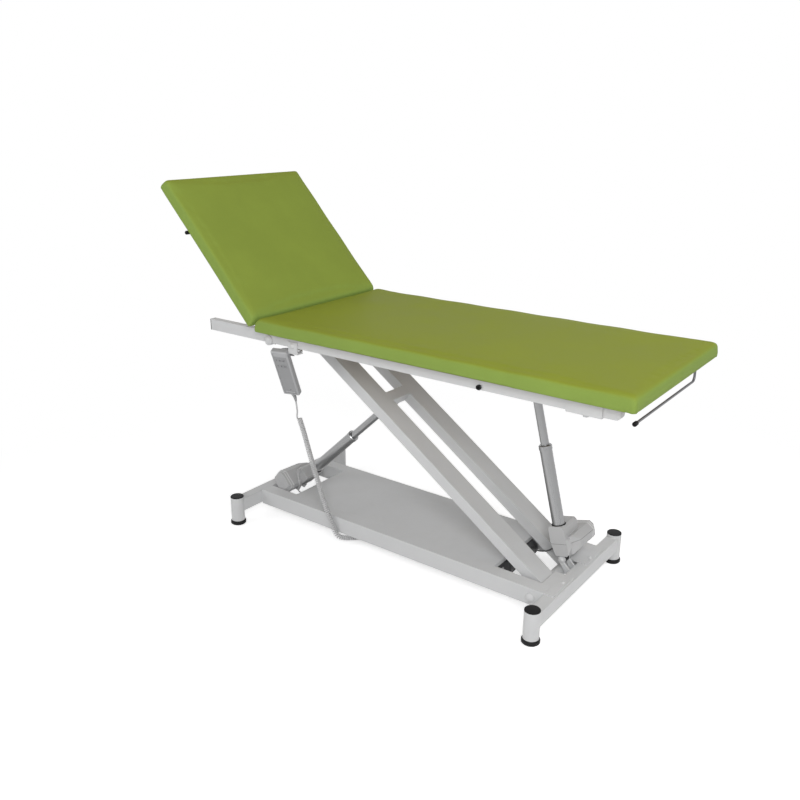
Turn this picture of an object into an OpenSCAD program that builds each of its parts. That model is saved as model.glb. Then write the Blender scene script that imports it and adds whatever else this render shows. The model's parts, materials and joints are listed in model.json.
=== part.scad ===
// Height-adjustable examination table: a two-section couch on a parallel lift,
// driven by two linear actuators, with a gas-sprung back section.
// Origin: on the floor, midway between the four feet. +X towards the foot end,
// +Y towards the far side, +Z up. Millimetres.

/* [Couch] */
// Width of both cushions
couch_w = 680; // [560:10:800]
// Height of the seat cushion's top above the floor, table raised
seat_top_z = 849.4; // [830:0.1:870]
// Length of the seat cushion
seat_len = 1371; // [1300:1:1400]
// Length of the back cushion, from the hinge end to the head end
back_len = 620; // [560:5:680]
// Angle of the back section above level
back_angle = 47; // [30:1:60]
// Thickness of the cushions, with their boards
cushion_t = 47.4; // [42:0.1:60]
// Thickness of the plywood boards
board_t = 12; // [9:1:15]
// How far the vinyl reaches past the board's edge
board_inset = 8; // [4:1:14]
// Rise of the cushions' middle above their edges
crown = 5; // [2:0.5:10]
// Gap between the two cushions, back section level
cushion_gap = 14; // [12:1:20]

/* [Base] */
// Distance from the middle to the feet, lengthwise
foot_x = 642; // [600:1:700]
// Distance from the middle to the feet, across
foot_y = 304; // [280:1:330]
// Diameter of the leg tubes
leg_d = 50.8; // [40:0.2:60]
// Height of the black leg caps above the floor
leg_top_z = 114; // [110:1:125]
// Diameter of the rubber feet
foot_d = 59; // [54:1:70]
// Height of the rubber feet
foot_h = 16; // [10:1:22]
// Width of the base's long rails
rail_w = 50; // [40:1:60]
// Height of the base's long rails
rail_h = 60; // [50:1:64]
// Top of the long rails above the floor
rail_top_z = 105; // [100:1:110]
// Distance from the middle to the outer faces of the long rails
rail_out_y = 191; // [185:1:215]
// Width of the cross bars
bar_w = 40; // [30:1:50]
// Height of the cross bars
bar_h = 50; // [40:1:55]
// Wall of the base's tubes
tube_wall = 2.5; // [2:0.5:4]
// Thickness of the deck sheet and of the end plates
sheet_t = 2.5; // [2:0.5:4]
// Head end edge of the deck sheet
deck_x0 = -481; // [-520:1:-440]
// Foot end edge of the deck sheet
deck_x1 = 414; // [380:1:420]

/* [Lift] */
// Length of the lift arms, pivot to pivot
arm_len = 1224; // [1200:1:1240]
// Lower pivot of the arms, from the middle of the base
arm_pivot_x = 574; // [560:1:584]
// Lower pivot of the arms above the floor
arm_pivot_z = 70; // [66:1:76]
// Width of one lift arm
arm_w = 80; // [60:1:90]
// Thickness of one lift arm
arm_t = 40; // [30:1:45]
// Middle of each lift arm from the table's middle
arm_y = 90; // [80:1:95]
// Upper pivot of the arms above the side rails' lower faces
pivot_rise = 8.3; // [6:0.1:12]
// How far the arms' middle line lies above the line of pivots
arm_rise = 6; // [2:0.5:8]
// Diameter of the pivot tubes
pivot_tube_d = 38; // [34:1:42]
// Diameter of the pivot shafts
shaft_d = 20; // [16:1:24]

/* [Actuators] */
// Diameter of the outer tubes
outer_d = 41; // [38:1:46]
// Diameter of the rods
rod_d = 28; // [24:1:31]
// Diameter of the spindles
spindle_d = 12; // [10:1:16]
// Diameter of the actuators' pins
pin_d = 12; // [10:1:16]
// Distance from the lower pin to the housing's bottom
housing_u0 = 14; // [14:1:20]
// Distance from the lower pin to the housing's seam
housing_u1 = 57; // [50:1:64]
// Distance from the lower pin to the housing's top
housing_u2 = 118; // [112:1:126]
// Distance from the lower pin to the collar's top
collar_u = 392; // [380:1:400]
// Lower pin of the head end actuator, from the middle
head_pin_x = -588; // [-592:1:-580]
// Lower pin of the head end actuator above the floor
head_pin_z = 85; // [80:1:92]
// Lower pin of the foot end actuator, from the middle
foot_pin_x = 590; // [584:1:596]
// Lower pin of the foot end actuator above the floor
foot_pin_z = 128; // [124:1:134]
// Upper pin of the head end actuator, from the arms' lower pivot along the arms
lift_pin_s = 831; // [800:1:860]
// Drop of that pin below the line of pivots
lift_pin_drop = 36; // [34:1:44]
// Upper pin of the foot end actuator, from the arms' upper pivot
level_pin_dx = 855; // [840:1:870]
// Distance of the foot end actuator from the middle, across
foot_act_y = 12; // [0:1:16]

/* [Upper frame] */
// Distance from the middle to the outer faces of the side rails
frame_out_y = 300; // [285:1:310]
// Width of the side rails
frame_w = 25; // [20:1:30]
// Height of the side rails
frame_h = 40; // [36:1:44]
// Distance from the arms' upper pivot to the hinge of the back section
hinge_dx = 41.1; // [36:0.1:50]
// Reach of the side rails past that hinge, towards the head end
rail_reach = 254; // [230:1:280]
// Length of the side rails
rail_len = 1531; // [1500:1:1545]
// Length of the sleeves on the side rails' foot ends
sleeve_len = 106; // [80:1:130]
// Height of the frame's cross tubes
cross_h = 20; // [16:1:24]
// Diameter of the paper roll rod
paper_rod_d = 8; // [6:1:10]
// Distance of the paper roll rod from the seat's foot end
paper_rod_dx = 37; // [28:1:46]
// Distance of the paper roll rod below the seat board
paper_rod_dz = 63; // [56:1:82]
// Half length of the paper roll rod
paper_rod_half = 238; // [200:1:250]

/* [Back section] */
// Distance from the hinge to the gas spring's upper pin
gas_top_dx = 400; // [380:1:420]
// Distance of that pin below the hinge, back section level
gas_top_dz = 49; // [44:1:54]
// Distance from the hinge to the gas spring's lower pin
gas_low_dx = 89; // [84:1:96]
// Distance of that pin below the side rails
gas_low_dz = 17; // [14:1:20]
// Distance from the gas spring's upper pin to the release bar
release_dx = 37; // [34:1:44]
// Drop of the release bar below the board
release_dz = 23; // [20:1:28]
// Distance from the middle to the outer faces of the back's rails
back_rail_y = 195; // [180:1:230]
// Width of the back's tubes
back_tube_w = 30; // [25:1:40]
// Height of the back's tubes
back_tube_h = 18; // [15:1:20]
// Distance from the back's tubes to the ends of its board
back_tube_end = 60; // [50:1:90]

/* [Handset] */
// Width of the handset
handset_w = 64; // [56:1:70]
// Length of the handset
handset_l = 200; // [180:1:210]
// Thickness of the handset
handset_t = 24; // [20:1:28]
// Outer diameter of the cord's curls
curl_d = 19; // [16:0.5:20]
// Diameter of the cord
cord_d = 4.4; // [4:0.1:4.6]
// Diameter of the motors' cables
cable_d = 5; // [4:0.5:6]

/* [Hidden] */
$fn = 48;
run = 0.05;                                     // radial clearance of a running fit
gap = 0.3;                                      // clearance of pieces that only meet
white = "whitesmoke";
dark = [0.12, 0.12, 0.13];
shell_grey = [0.72, 0.73, 0.74];
vinyl = [0.53, 0.6, 0.25];

// Levels of the couch
cushion_z = seat_top_z - cushion_t;
board_top = cushion_z + board_t;
frame_z0 = cushion_z - frame_h;
upper_z = frame_z0 + pivot_rise;
lift_angle = asin((upper_z - arm_pivot_z) / arm_len);
upper_x = arm_pivot_x - arm_len * cos(lift_angle);
hinge_x = upper_x - hinge_dx;
hinge_z = board_top + 2;
seat_x0 = hinge_x + cushion_gap / 2;
seat_end_x = seat_x0 + seat_len;
frame_x0 = hinge_x - rail_reach;
frame_x1 = frame_x0 + rail_len;
sleeve_x = frame_x1 - sleeve_len;
back_x1 = hinge_x - cushion_gap / 2;
back_x0 = back_x1 - back_len;
rail_in_y = frame_out_y - frame_w;

// Base
base_in_y = rail_out_y - rail_w;
bar_in_x = foot_x - bar_w / 2;
bar_top_z = rail_top_z - 4;
plate_x0 = bar_in_x - 32;
plate_in_y = 50;
plate_bolt_y = 100;
middle_xs = [deck_x0 + 301, deck_x1 - 164];     // the tubes under the deck
middle_drop = 42;                               // from the rails' tops to those tubes' undersides

// Lift: the arms' pivots and the actuators' pins
arm_in_y = arm_y - arm_w / 2;
arm_out_y = arm_y + arm_w / 2;
arm_lo = arm_rise - arm_t / 2;
arm_hi = arm_rise + arm_t / 2;
lift_x = arm_pivot_x - lift_pin_s * cos(lift_angle) - lift_pin_drop * sin(lift_angle);
lift_z = arm_pivot_z + lift_pin_s * sin(lift_angle) - lift_pin_drop * cos(lift_angle);
level_x = upper_x + level_pin_dx;
level_z = upper_z;
head_dx = lift_x - head_pin_x;
head_dz = lift_z - head_pin_z;
head_len = norm([head_dx, head_dz]);
head_tilt = atan2(head_dx, head_dz);
foot_dx = level_x - foot_pin_x;
foot_dz = level_z - foot_pin_z;
foot_len = norm([foot_dx, foot_dz]);
foot_tilt = atan2(foot_dx, foot_dz);
lug_y = rod_d / 2 + 1;                          // inner faces of the lugs
lug_t = 6;
eye_half = lug_y - 2;                           // half width of the actuators' eyes
rod_tail_u = 350;                               // lower end of the rods, from the lower pin
nut_len = 24;                                   // length of the spindles' nuts

// Gas spring: lower pin on the frame, upper pin on the back section (as if level)
gas_x = hinge_x - gas_low_dx;
gas_z = frame_z0 - gas_low_dz;
gas_top_x = hinge_x - gas_top_dx;
gas_top_z = hinge_z - gas_top_dz;
release_x = gas_top_x - release_dx;
release_z = cushion_z - release_dz;
function raised(x, z) = [
    hinge_x + (x - hinge_x) * cos(back_angle) + (z - hinge_z) * sin(back_angle),
    hinge_z - (x - hinge_x) * sin(back_angle) + (z - hinge_z) * cos(back_angle)];
gas_end = raised(gas_top_x, gas_top_z);
gas_len = norm([gas_end[0] - gas_x, gas_end[1] - gas_z]);
gas_tilt = atan2(gas_end[0] - gas_x, gas_end[1] - gas_z);
gas_neck_u = 28;                                // from its lower pin to the cylinder
gas_body_u = 233;                               // from its lower pin to the cylinder's top
gas_body_r = 11;
gas_rod_r = 4;
gas_eye_r = 9;
gas_eye_half = 8;
piston_u = 180;                                 // from its lower pin to the piston
piston_len = 10;

// Handset: where its middle hangs, its turn towards the foot end and its lean over the clip
handset_at = [hinge_x + 95, -frame_out_y + 24.5, frame_z0 - 104];
handset_turn = 16;
handset_lean = 25;
cord_x = 3.5;                                   // the cord's exit, from the handset's middle
hook_x = 25;
hook_low_z = handset_l / 2 - 11.5;              // underside of the clip's bridge
bridge_z = handset_at[2] + handset_t / 2 * sin(handset_lean) + hook_low_z * cos(handset_lean);

// Cord routes, chosen by hand. The curly one hangs from the handset to the base.
curl_path = [[-385.9, -228.1, 554.4], [-387.3, -223.2, 543.5], [-390, -216.5, 520], [-388.5, -213, 484],
    [-381, -211, 461], [-365, -210, 417], [-346, -209, 356], [-326, -208, 294], [-304.5, -207, 233],
    [-283, -206, 171], [-264, -205, 124], [-243, -205, 80], [-229, -204, 51], [-216, -199, 33],
    [-198, -185, 26], [-170, -165, 27], [-138, -147, 30], [-104, -134, 32], [-84, -126, 32]];
tail_path = [[-83.8, -125.9, 32], [-64, -118, 32], [0, -112, 34], [120, -100, 36], [240, -84, 38],
    [330, -86, 46], [374, -96, 54], [398, -84, 57], [404, -73, 57], [404, -62.3, 57]];
head_cable_path = [[-522.3, -72.6, 169.9], [-521, -82, 171], [-518, -91, 162], [-512.5, -95, 145],
    [-509, -95, 126], [-514, -92, 108], [-525, -86, 93], [-527, -78, 80], [-515, -70, 73], [-490, -62, 76],
    [-455, -52, 84], [-400, -44, 94], [-300, -42, 92], [-225, -40, 60], [-180, -40, 56], [-135, -40, 60],
    [-60, -40, 90], [120, -40, 90], [200, -40, 60], [250, -40, 58], [300, -40, 57], [345, -40, 57],
    [374.6, -40, 57]];
foot_cable_path = [[422.9, 20, 79.6], [430, 20, 88], [446, 20, 102], [470, 21, 112], [497, 23, 115],
    [520, 27, 122], [536, 31, 134], [547, 34, 145], [557.4, 34, 151]];

// Shared shapes
module box(a, b) { translate(a) cube(b - a); }
module both_sides() { for (s = [-1, 1]) scale([1, s, 1]) children(); }
module along_y(x, z, y0, y1, r) {
    translate([x, y0, z]) rotate([-90, 0, 0]) cylinder(h = y1 - y0, r = r);
}
module dome(r, h) {
    sphere_r = (r * r + h * h) / (2 * h);
    rotate_extrude() intersection() {
        translate([0, h - sphere_r]) circle(r = sphere_r, $fn = 96);
        square([r, h]);
    }
}
module rect_tube_x(x0, x1, y0, y1, z0, z1, wall) {
    difference() {
        box([x0, y0, z0], [x1, y1, z1]);
        box([x0 - 1, y0 + wall, z0 + wall], [x1 + 1, y1 - wall, z1 - wall]);
    }
}
module rect_tube_y(y0, y1, x0, x1, z0, z1, wall) {
    difference() {
        box([x0, y0, z0], [x1, y1, z1]);
        box([x0 + wall, y0 - 1, z0 + wall], [x1 - wall, y1 + 1, z1 - wall]);
    }
}
// An outline in X and Z, extruded between two places in Y
module slab_xz(points, y0, y1) {
    translate([0, y1, 0]) rotate([90, 0, 0]) linear_extrude(y1 - y0) polygon(points);
}

// Places that move together
module at_arms() {
    translate([arm_pivot_x, 0, arm_pivot_z]) rotate([0, lift_angle, 0]) children();
}
module at_head_actuator() {
    translate([head_pin_x, 0, head_pin_z]) rotate([0, head_tilt, 0]) rotate([0, 0, 180]) children();
}
module at_foot_actuator() {
    translate([foot_pin_x, foot_act_y, foot_pin_z]) rotate([0, foot_tilt, 0]) children();
}
module at_back() {
    translate([hinge_x, 0, hinge_z]) rotate([0, back_angle, 0])
        translate([-hinge_x, 0, -hinge_z]) children();
}
module at_gas() { translate([gas_x, 0, gas_z]) rotate([0, gas_tilt, 0]) children(); }
module at_handset() {
    translate(handset_at) rotate([0, 0, handset_turn]) rotate([handset_lean, 0, 0]) children();
}

// Base
module base_rails() color(white) both_sides() difference() {
    rect_tube_x(-bar_in_x, bar_in_x, base_in_y, rail_out_y, rail_top_z - rail_h, rail_top_z, tube_wall);
    along_y(arm_pivot_x, arm_pivot_z, base_in_y - 1, rail_out_y + 1, shaft_d / 2 + run);
}
module base_cross_bars() color(white) for (s = [-1, 1]) difference() {
    rect_tube_y(-foot_y, foot_y, s * foot_x - bar_w / 2, s * foot_x + bar_w / 2,
        bar_top_z - bar_h, bar_top_z, tube_wall);
    both_sides() translate([s * foot_x, foot_y, 0]) cylinder(h = leg_top_z, r = leg_d / 2 + 0.1);
    if (s > 0) both_sides() translate([foot_x, plate_bolt_y, bar_top_z - 10]) cylinder(h = 20, r = 4.1);
}
module deck() color(white) {
    y1 = base_in_y - gap;
    box([deck_x0, -y1, rail_top_z - sheet_t], [deck_x1, y1, rail_top_z]);
    for (x = [deck_x0, deck_x1 - sheet_t])
        box([x, -y1, rail_top_z - 14], [x + sheet_t, y1, rail_top_z - sheet_t]);
}
module base_middle_tube() color(white) for (x = middle_xs)
    rect_tube_y(-base_in_y + gap, base_in_y - gap, x - bar_w / 2, x + bar_w / 2,
        rail_top_z - middle_drop, rail_top_z - sheet_t - gap, tube_wall);
module end_plates() color(white) both_sides() difference() {
    union() {
        box([bar_in_x + gap, plate_in_y, bar_top_z], [foot_x + 13, rail_out_y, rail_top_z]);
        box([plate_x0, plate_in_y, bar_top_z], [bar_in_x + gap, base_in_y - gap, rail_top_z]);
    }
    translate([foot_x, plate_bolt_y, 0]) cylinder(h = 200, r = 4.1);
}
module plate_bolts() color(white) both_sides() translate([foot_x, plate_bolt_y, 0]) {
    translate([0, 0, rail_top_z]) cylinder(h = 1, r = 8.5);
    translate([0, 0, rail_top_z + 1]) dome(7, 4);
    translate([0, 0, bar_top_z - 8]) cylinder(h = 13, r = 4);
}
module leg_tubes() color(white) for (x = [-foot_x, foot_x]) both_sides() translate([x, foot_y, 0])
    difference() {
        translate([0, 0, foot_h]) cylinder(h = leg_top_z - 3 - foot_h, r = leg_d / 2, $fn = 96);
        translate([0, 0, foot_h - 1]) cylinder(h = leg_top_z, r = leg_d / 2 - tube_wall, $fn = 96);
    }
module leg_caps() color(dark) for (x = [-foot_x, foot_x]) both_sides() translate([x, foot_y, 0]) {
    r = leg_d / 2;
    translate([0, 0, leg_top_z - 3]) rotate_extrude($fn = 96)
        polygon([[0, 0], [r, 0], [r, 1.8], [r - 1.2, 3], [0, 3.6]]);
    translate([0, 0, leg_top_z - 15]) cylinder(h = 12, r = r - tube_wall - gap, $fn = 96);
}
module rubber_feet() color(dark) for (x = [-foot_x, foot_x]) both_sides() translate([x, foot_y, 0]) {
    r = foot_d / 2;
    rotate_extrude($fn = 96) polygon([[0, 0], [r - 3, 0], [r, 3], [r, foot_h - 5],
        [r - 2, foot_h - 1.5], [r - 4, foot_h], [0, foot_h]]);
    translate([0, 0, foot_h]) cylinder(h = 14, r = leg_d / 2 - tube_wall - gap, $fn = 96);
}
module lower_pivot_shaft() color(white) {
    along_y(arm_pivot_x, arm_pivot_z, -rail_out_y, rail_out_y, shaft_d / 2);
    both_sides() translate([arm_pivot_x, rail_out_y, arm_pivot_z]) rotate([-90, 0, 0]) {
        cylinder(h = 2, r = shaft_d / 2 + 6);
        translate([0, 0, 2]) dome(shaft_d / 2 + 6, 7);
    }
}
// Pairs of lugs welded to the cross bars, which carry the actuators' lower pins.
// The outline is drawn from the pin, the bar's face lies at reach.
module lugs(outline, reach, z0, z1) {
    both_sides() difference() {
        union() {
            slab_xz(outline, lug_y, lug_y + lug_t);
            along_y(0, 0, lug_y, lug_y + lug_t, 12.5);
        }
        along_y(0, 0, 0, 50, pin_d / 2 + run);
    }
    x = reach > 0 ? reach - 4 : reach;
    box([x, -lug_y + 0.1, z0], [x + 4, lug_y - 0.1, z1]);
}
module motor_brackets() color(white) {
    head_reach = -bar_in_x - head_pin_x;
    foot_reach = bar_in_x - foot_pin_x;
    foot_top = bar_top_z - foot_pin_z - 3;
    translate([head_pin_x, 0, head_pin_z])
        lugs([[head_reach, -32], [head_reach, 12], [6, 10], [12, -8], [9, -24], [-2, -40]],
            head_reach, -32, 4);
    translate([foot_pin_x, foot_act_y, foot_pin_z])
        lugs([[foot_reach, foot_top - 37], [foot_reach, foot_top], [9, -8], [-9, -8]],
            foot_reach, foot_top - 37, foot_top - 6);
}
module motor_pins() color("silver")
    for (p = [[head_pin_x, 0, head_pin_z], [foot_pin_x, foot_act_y, foot_pin_z]]) translate([0, p[1], 0]) {
        y = lug_y + lug_t + 0.1;
        along_y(p[0], p[2], -y - 0.1, y + 3, pin_d / 2);
        translate([p[0], -y, p[2]]) rotate([90, 0, 0]) dome(pin_d / 2 + 4, 5);
        difference() {
            along_y(p[0], p[2], y, y + 2, pin_d / 2 + 3.5);
            along_y(p[0], p[2], y - 1, y + 3, pin_d / 2);
        }
    }
// Drum-shaped supply and control unit, strapped under the deck's foot edge
drum_r = 29;
drum_y0 = -62;
drum_y1 = base_in_y - 8;
drum_z = 57;
drum_x = deck_x1 - 10;
module control_unit() color(dark) {
    n = drum_y1 - drum_y0;
    translate([drum_x, drum_y0, drum_z]) rotate([-90, 0, 0]) rotate_extrude($fn = 64)
        polygon([[0, 0], [drum_r - 4, 0], [drum_r, 4], [drum_r, 40], [drum_r - 1, 41], [drum_r - 1, 45],
            [drum_r, 46], [drum_r, n - 42], [drum_r - 1, n - 41], [drum_r - 1, n - 37], [drum_r, n - 36],
            [drum_r, n - 4], [drum_r - 4, n], [0, n]]);
    for (y = [drum_y0 + 32, drum_y0 + 122, drum_y1 - 12]) difference() {
        union() {
            along_y(drum_x, drum_z, y - 6, y + 6, drum_r + 2.5);
            box([drum_x - drum_r - 2.5, y - 6, drum_z], [drum_x - drum_r + 3, y + 6, rail_top_z - sheet_t]);
        }
        along_y(drum_x, drum_z, y - 7, y + 7, drum_r);
        box([drum_x - drum_r + 3, y - 7, drum_z + 20], [drum_x + drum_r + 11, y + 7, drum_z + 60]);
    }
}

// Lift arms
module lift_arm() color(white) at_arms() difference() {
    box([-arm_len - 8, arm_in_y, arm_lo], [26, arm_out_y, arm_hi]);
    box([-arm_len - 4, arm_in_y + 3, arm_lo + 3], [22, arm_out_y - 3, arm_hi - 3]);
    for (x = [0, -arm_len]) along_y(x, 0, arm_in_y - 1, arm_out_y + 1, pivot_tube_d / 2 + 0.1);
}
module near_lift_arm() scale([1, -1, 1]) lift_arm();
module far_lift_arm() lift_arm();
module arm_cross_tube() color(white) at_arms() rect_tube_y(-arm_in_y + 0.1, arm_in_y - 0.1,
    -lift_pin_s - arm_t / 2, -lift_pin_s + arm_t / 2, arm_lo, arm_hi, 3);
module pivot_tube(half) {
    difference() {
        along_y(0, 0, -half, half, pivot_tube_d / 2);
        along_y(0, 0, -half - 1, half + 1, shaft_d / 2 + 4);
    }
}
lower_tube_half = base_in_y - 5;
upper_tube_half = rail_in_y - 7;
module lower_pivot_tube() color(white) at_arms() pivot_tube(lower_tube_half);
module upper_pivot_tube() color(white) at_arms() translate([-arm_len, 0, 0]) pivot_tube(upper_tube_half);
module bush(half) {
    both_sides() difference() {
        union() {
            along_y(0, 0, half - 24, half, shaft_d / 2 + 3.9);
            along_y(0, 0, half, half + 4, pivot_tube_d / 2 + 2);
        }
        along_y(0, 0, half - 25, half + 5, shaft_d / 2 + run);
    }
}
module pivot_bushes() color(dark) at_arms() {
    bush(lower_tube_half);
    translate([-arm_len, 0, 0]) bush(upper_tube_half);
}
// Two lugs under the arms' cross tube, each with its half of the parted pin
module lift_lugs() color(white) at_arms() both_sides() {
    slab_xz([[-lift_pin_s - 19, arm_lo], [-lift_pin_s + 19, arm_lo], [-lift_pin_s + 15, -lift_pin_drop],
        [-lift_pin_s + 9, -lift_pin_drop - 13], [-lift_pin_s - 9, -lift_pin_drop - 13],
        [-lift_pin_s - 15, -lift_pin_drop]], lug_y, lug_y + lug_t);
    along_y(-lift_pin_s, -lift_pin_drop, lug_y + lug_t, lug_y + lug_t + 5, pin_d / 2 + 4);
}

// Upper frame
module side_rail() color(white) difference() {
    rect_tube_x(frame_x0, frame_x1, rail_in_y, frame_out_y, frame_z0, cushion_z, 2);
    along_y(upper_x, upper_z, rail_in_y - 1, frame_out_y + 1, shaft_d / 2 + 8.1);
    along_y(level_x, level_z, rail_in_y - 1, frame_out_y + 1, shaft_d / 2 + run);
    for (x = screw_x) translate([x, screw_y, frame_z0 - 1]) cylinder(h = frame_h + 2, r = 2.8, $fn = 24);
}
screw_x = [for (d = [151, 390, 673, 951, 1111]) hinge_x + d];
screw_y = frame_out_y - frame_w / 2;
module near_side_rail() scale([1, -1, 1]) side_rail();
module far_side_rail() side_rail();
cross_half = 20;
cross_x = [hinge_x - 49, hinge_x + 191, sleeve_x - cross_half - 10];
gas_pin_r = 4;
module frame_cross_tubes() color(white) {
    head_side = cross_x[0] - cross_half;
    for (x = cross_x)
        rect_tube_y(-rail_in_y + 0.1, rail_in_y - 0.1, x - cross_half, x + cross_half, frame_z0,
            frame_z0 + cross_h, 2);
    // Lugs for the gas spring's lower pin
    both_sides() difference() {
        slab_xz([[head_side - 0.2, frame_z0 + cross_h - 2], [head_side - 0.2, frame_z0 + 2],
            [head_side + 24, frame_z0], [head_side + 24, frame_z0 - 5], [gas_x + 4, gas_z - 11],
            [gas_x - 8, gas_z - 8], [gas_x - 11, gas_z], [gas_x - 6, gas_z + 10]], 9, 13);
        along_y(gas_x, gas_z, 0, 20, gas_pin_r + run);
    }
    along_y(gas_x, gas_z, -16, 16, gas_pin_r);
}
// Head end caps, foot end sleeves with their clamp screws, and rounded plugs
plug_len = 49;
plug_r = 14;
module rail_ends() both_sides() {
    color(dark) {
        box([frame_x0 - 3, rail_in_y, frame_z0], [frame_x0, frame_out_y, cushion_z]);
        box([frame_x0, rail_in_y + 2.2, frame_z0 + 2.2],
            [frame_x0 + 14, frame_out_y - 2.2, cushion_z - 2.2]);
    }
    color(white) {
        difference() {
            box([sleeve_x, rail_in_y - 4, frame_z0 - 4],
                [frame_x1 - 1, frame_out_y + 4, cushion_z - 0.2]);
            box([sleeve_x - 1, rail_in_y - 0.2, frame_z0 - 0.2],
                [frame_x1, frame_out_y + 0.2, cushion_z + 1]);
        }
        translate([sleeve_x + sleeve_len / 2, screw_y, frame_z0 - 12]) cylinder(h = 8, r = 8);
        translate([frame_x1 - 14, rail_in_y + 2.2, frame_z0 + 2.2])
            cube([14, frame_w - 4.4, frame_h - 4.4]);
        translate([0, frame_out_y, 0]) rotate([90, 0, 0]) linear_extrude(frame_w) intersection() {
            translate([frame_x1, frame_z0]) square([plug_len, frame_h - 0.2]);
            union() {
                translate([frame_x1, frame_z0 + plug_r]) square([plug_len, frame_h]);
                translate([frame_x1, frame_z0]) square([plug_len - plug_r, frame_h]);
                translate([frame_x1 + plug_len - plug_r, frame_z0 + plug_r]) circle(r = plug_r);
            }
        }
    }
}
module upper_pivot_shaft() color(white) {
    along_y(upper_x, upper_z, -frame_out_y - 3, frame_out_y + 3, shaft_d / 2);
    both_sides() {
        difference() {
            along_y(upper_x, upper_z, rail_in_y, frame_out_y + 3, shaft_d / 2 + 8);
            along_y(upper_x, upper_z, rail_in_y - 1, frame_out_y + 4, shaft_d / 2);
        }
        translate([upper_x, frame_out_y + 3, upper_z]) rotate([-90, 0, 0]) dome(shaft_d / 2 + 6, 6);
    }
}
// Shaft of the foot end actuator, parted at the rod's eye, with spacers and end bolts
module actuator_cross_shaft() color("silver") for (s = [-1, 1]) scale([1, s, 1]) {
    y0 = lug_y + s * foot_act_y;
    along_y(level_x, level_z, y0, frame_out_y, shaft_d / 2);
    translate([level_x, frame_out_y, level_z]) rotate([-90, 0, 0]) difference() {
        cylinder(h = 6, r = 8);
        translate([0, 0, 2]) cylinder(h = 6, r = 3.8, $fn = 6);
    }
    difference() {
        along_y(level_x, level_z, y0 + 2, rail_in_y - 0.1, shaft_d / 2 + 4);
        along_y(level_x, level_z, 0, frame_out_y, shaft_d / 2 + 0.02);
    }
}
module board_screws() color("silver") both_sides() for (x = screw_x) translate([x, screw_y, 0]) {
    translate([0, 0, frame_z0]) scale([1, 1, -1]) dome(6, 4);
    translate([0, 0, frame_z0]) cylinder(h = frame_h + 9, r = 2.5, $fn = 24);
}

// Soft goods. Each ring of a cushion is a rounded rectangle, drawn in by the
// given inset at its sides and by the nose's inset at its hinge end.
side_form = [[0, 5], [3, 1.6], [9, 0.3], [18, 0], [28, 0.6], [36, 2.8], [42, 7], [45.6, 12.5]];
nose_drop = cushion_t - board_t + 2;
function nose_in(h) = h < board_t - 2 ? 2.5 * pow(1 - h / (board_t - 2), 2)
    : 28 * (1 - sqrt(max(0, 1 - pow((h - board_t + 2) / nose_drop, 2))));
top_form = [[20, 0.1], [34, 0.3], [62, 0.54], [110, 0.77], [180, 0.93], [290, 1]];
side_top = 45.6;                                // height of the last ring of side_form, out of 47.4
form_t = 47.4;                                  // thickness that side_form is drawn for
corner_steps = 5;
side_steps = 7;
end_steps = 3;
function arc(cx, cy, r, a0) = [for (i = [0 : corner_steps]) let (a = a0 + 90 * i / corner_steps)
    [cx + r * cos(a), cy + r * sin(a)]];
function edge(p, q, n, draw) = [for (i = [1 : n - 1]) let (t = i / n, s = draw * sin(180 * t))
    [p[0] + (q[0] - p[0]) * t - s * (q[1] - p[1]) / norm(q - p),
     p[1] + (q[1] - p[1]) * t + s * (q[0] - p[0]) / norm(q - p)]];
function ring(x0, x1, w, r, draw) = let (
    a = arc(x1 - r, w - r, r, 0), b = arc(x0 + r, w - r, r, 90),
    c = arc(x0 + r, -w + r, r, 180), d = arc(x1 - r, -w + r, r, 270))
    concat(a, edge(a[corner_steps], b[0], side_steps, draw),
        b, edge(b[corner_steps], c[0], end_steps, 0),
        c, edge(c[corner_steps], d[0], side_steps, draw),
        d, edge(d[corner_steps], a[0], end_steps, draw));
function lift(points, z) = [for (p = points) [p[0], p[1], z]];
module cushion(len, w) {
    e_max = min(w, len / 2) - 50;
    edge_h = side_top * cushion_t / form_t;
    sides = [for (s = side_form) let (h = s[0] * cushion_t / form_t)
        lift(ring(nose_in(h), len - s[1], w - s[1], 12, 2), h)];
    tops = [for (s = top_form) let (e = min(s[0] * (len > 2 * w ? 1 : e_max / 290), e_max))
        lift(ring(e + 12 * (1 - s[1]), len - e, w - e, max(10 - e / 40, 3), 2 * (1 - s[1])),
            edge_h + crown * s[1])];
    rings = concat(sides, tops);
    n = len(rings[0]);
    m = len(rings);
    polyhedron([for (r = rings) each r], concat(
        [[for (i = [0 : n - 1]) i]],
        [for (k = [0 : m - 2], i = [0 : n - 1]) let (j = (i + 1) % n)
            [k * n + i, k * n + n + i, k * n + j]],
        [for (k = [0 : m - 2], i = [0 : n - 1]) let (j = (i + 1) % n)
            [k * n + j, k * n + n + i, k * n + n + j]],
        [[for (i = [n - 1 : -1 : 0]) (m - 1) * n + i]]));
}
module board(len) {
    difference() {
        box([board_inset, -couch_w / 2 + board_inset, 0],
            [len - board_inset, couch_w / 2 - board_inset, board_t]);
        children();
    }
}
module seat_board() color("burlywood") translate([seat_x0, 0, cushion_z]) board(seat_len)
    both_sides() for (x = screw_x) translate([x - seat_x0, screw_y, -1])
        cylinder(h = 11, r = 2.5 + run, $fn = 24);
module cushion_cover(len) difference() {
    cushion(len, couch_w / 2);
    box([board_inset - gap, -couch_w / 2 + board_inset - gap, -1],
        [len - board_inset + gap, couch_w / 2 - board_inset + gap, board_t + gap]);
}
module seat_cushion() color(vinyl) translate([seat_x0, 0, cushion_z]) cushion_cover(seat_len);
module back_board() color("burlywood") at_back() translate([back_x1, 0, cushion_z]) scale([-1, 1, 1])
    board(back_len);
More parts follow.
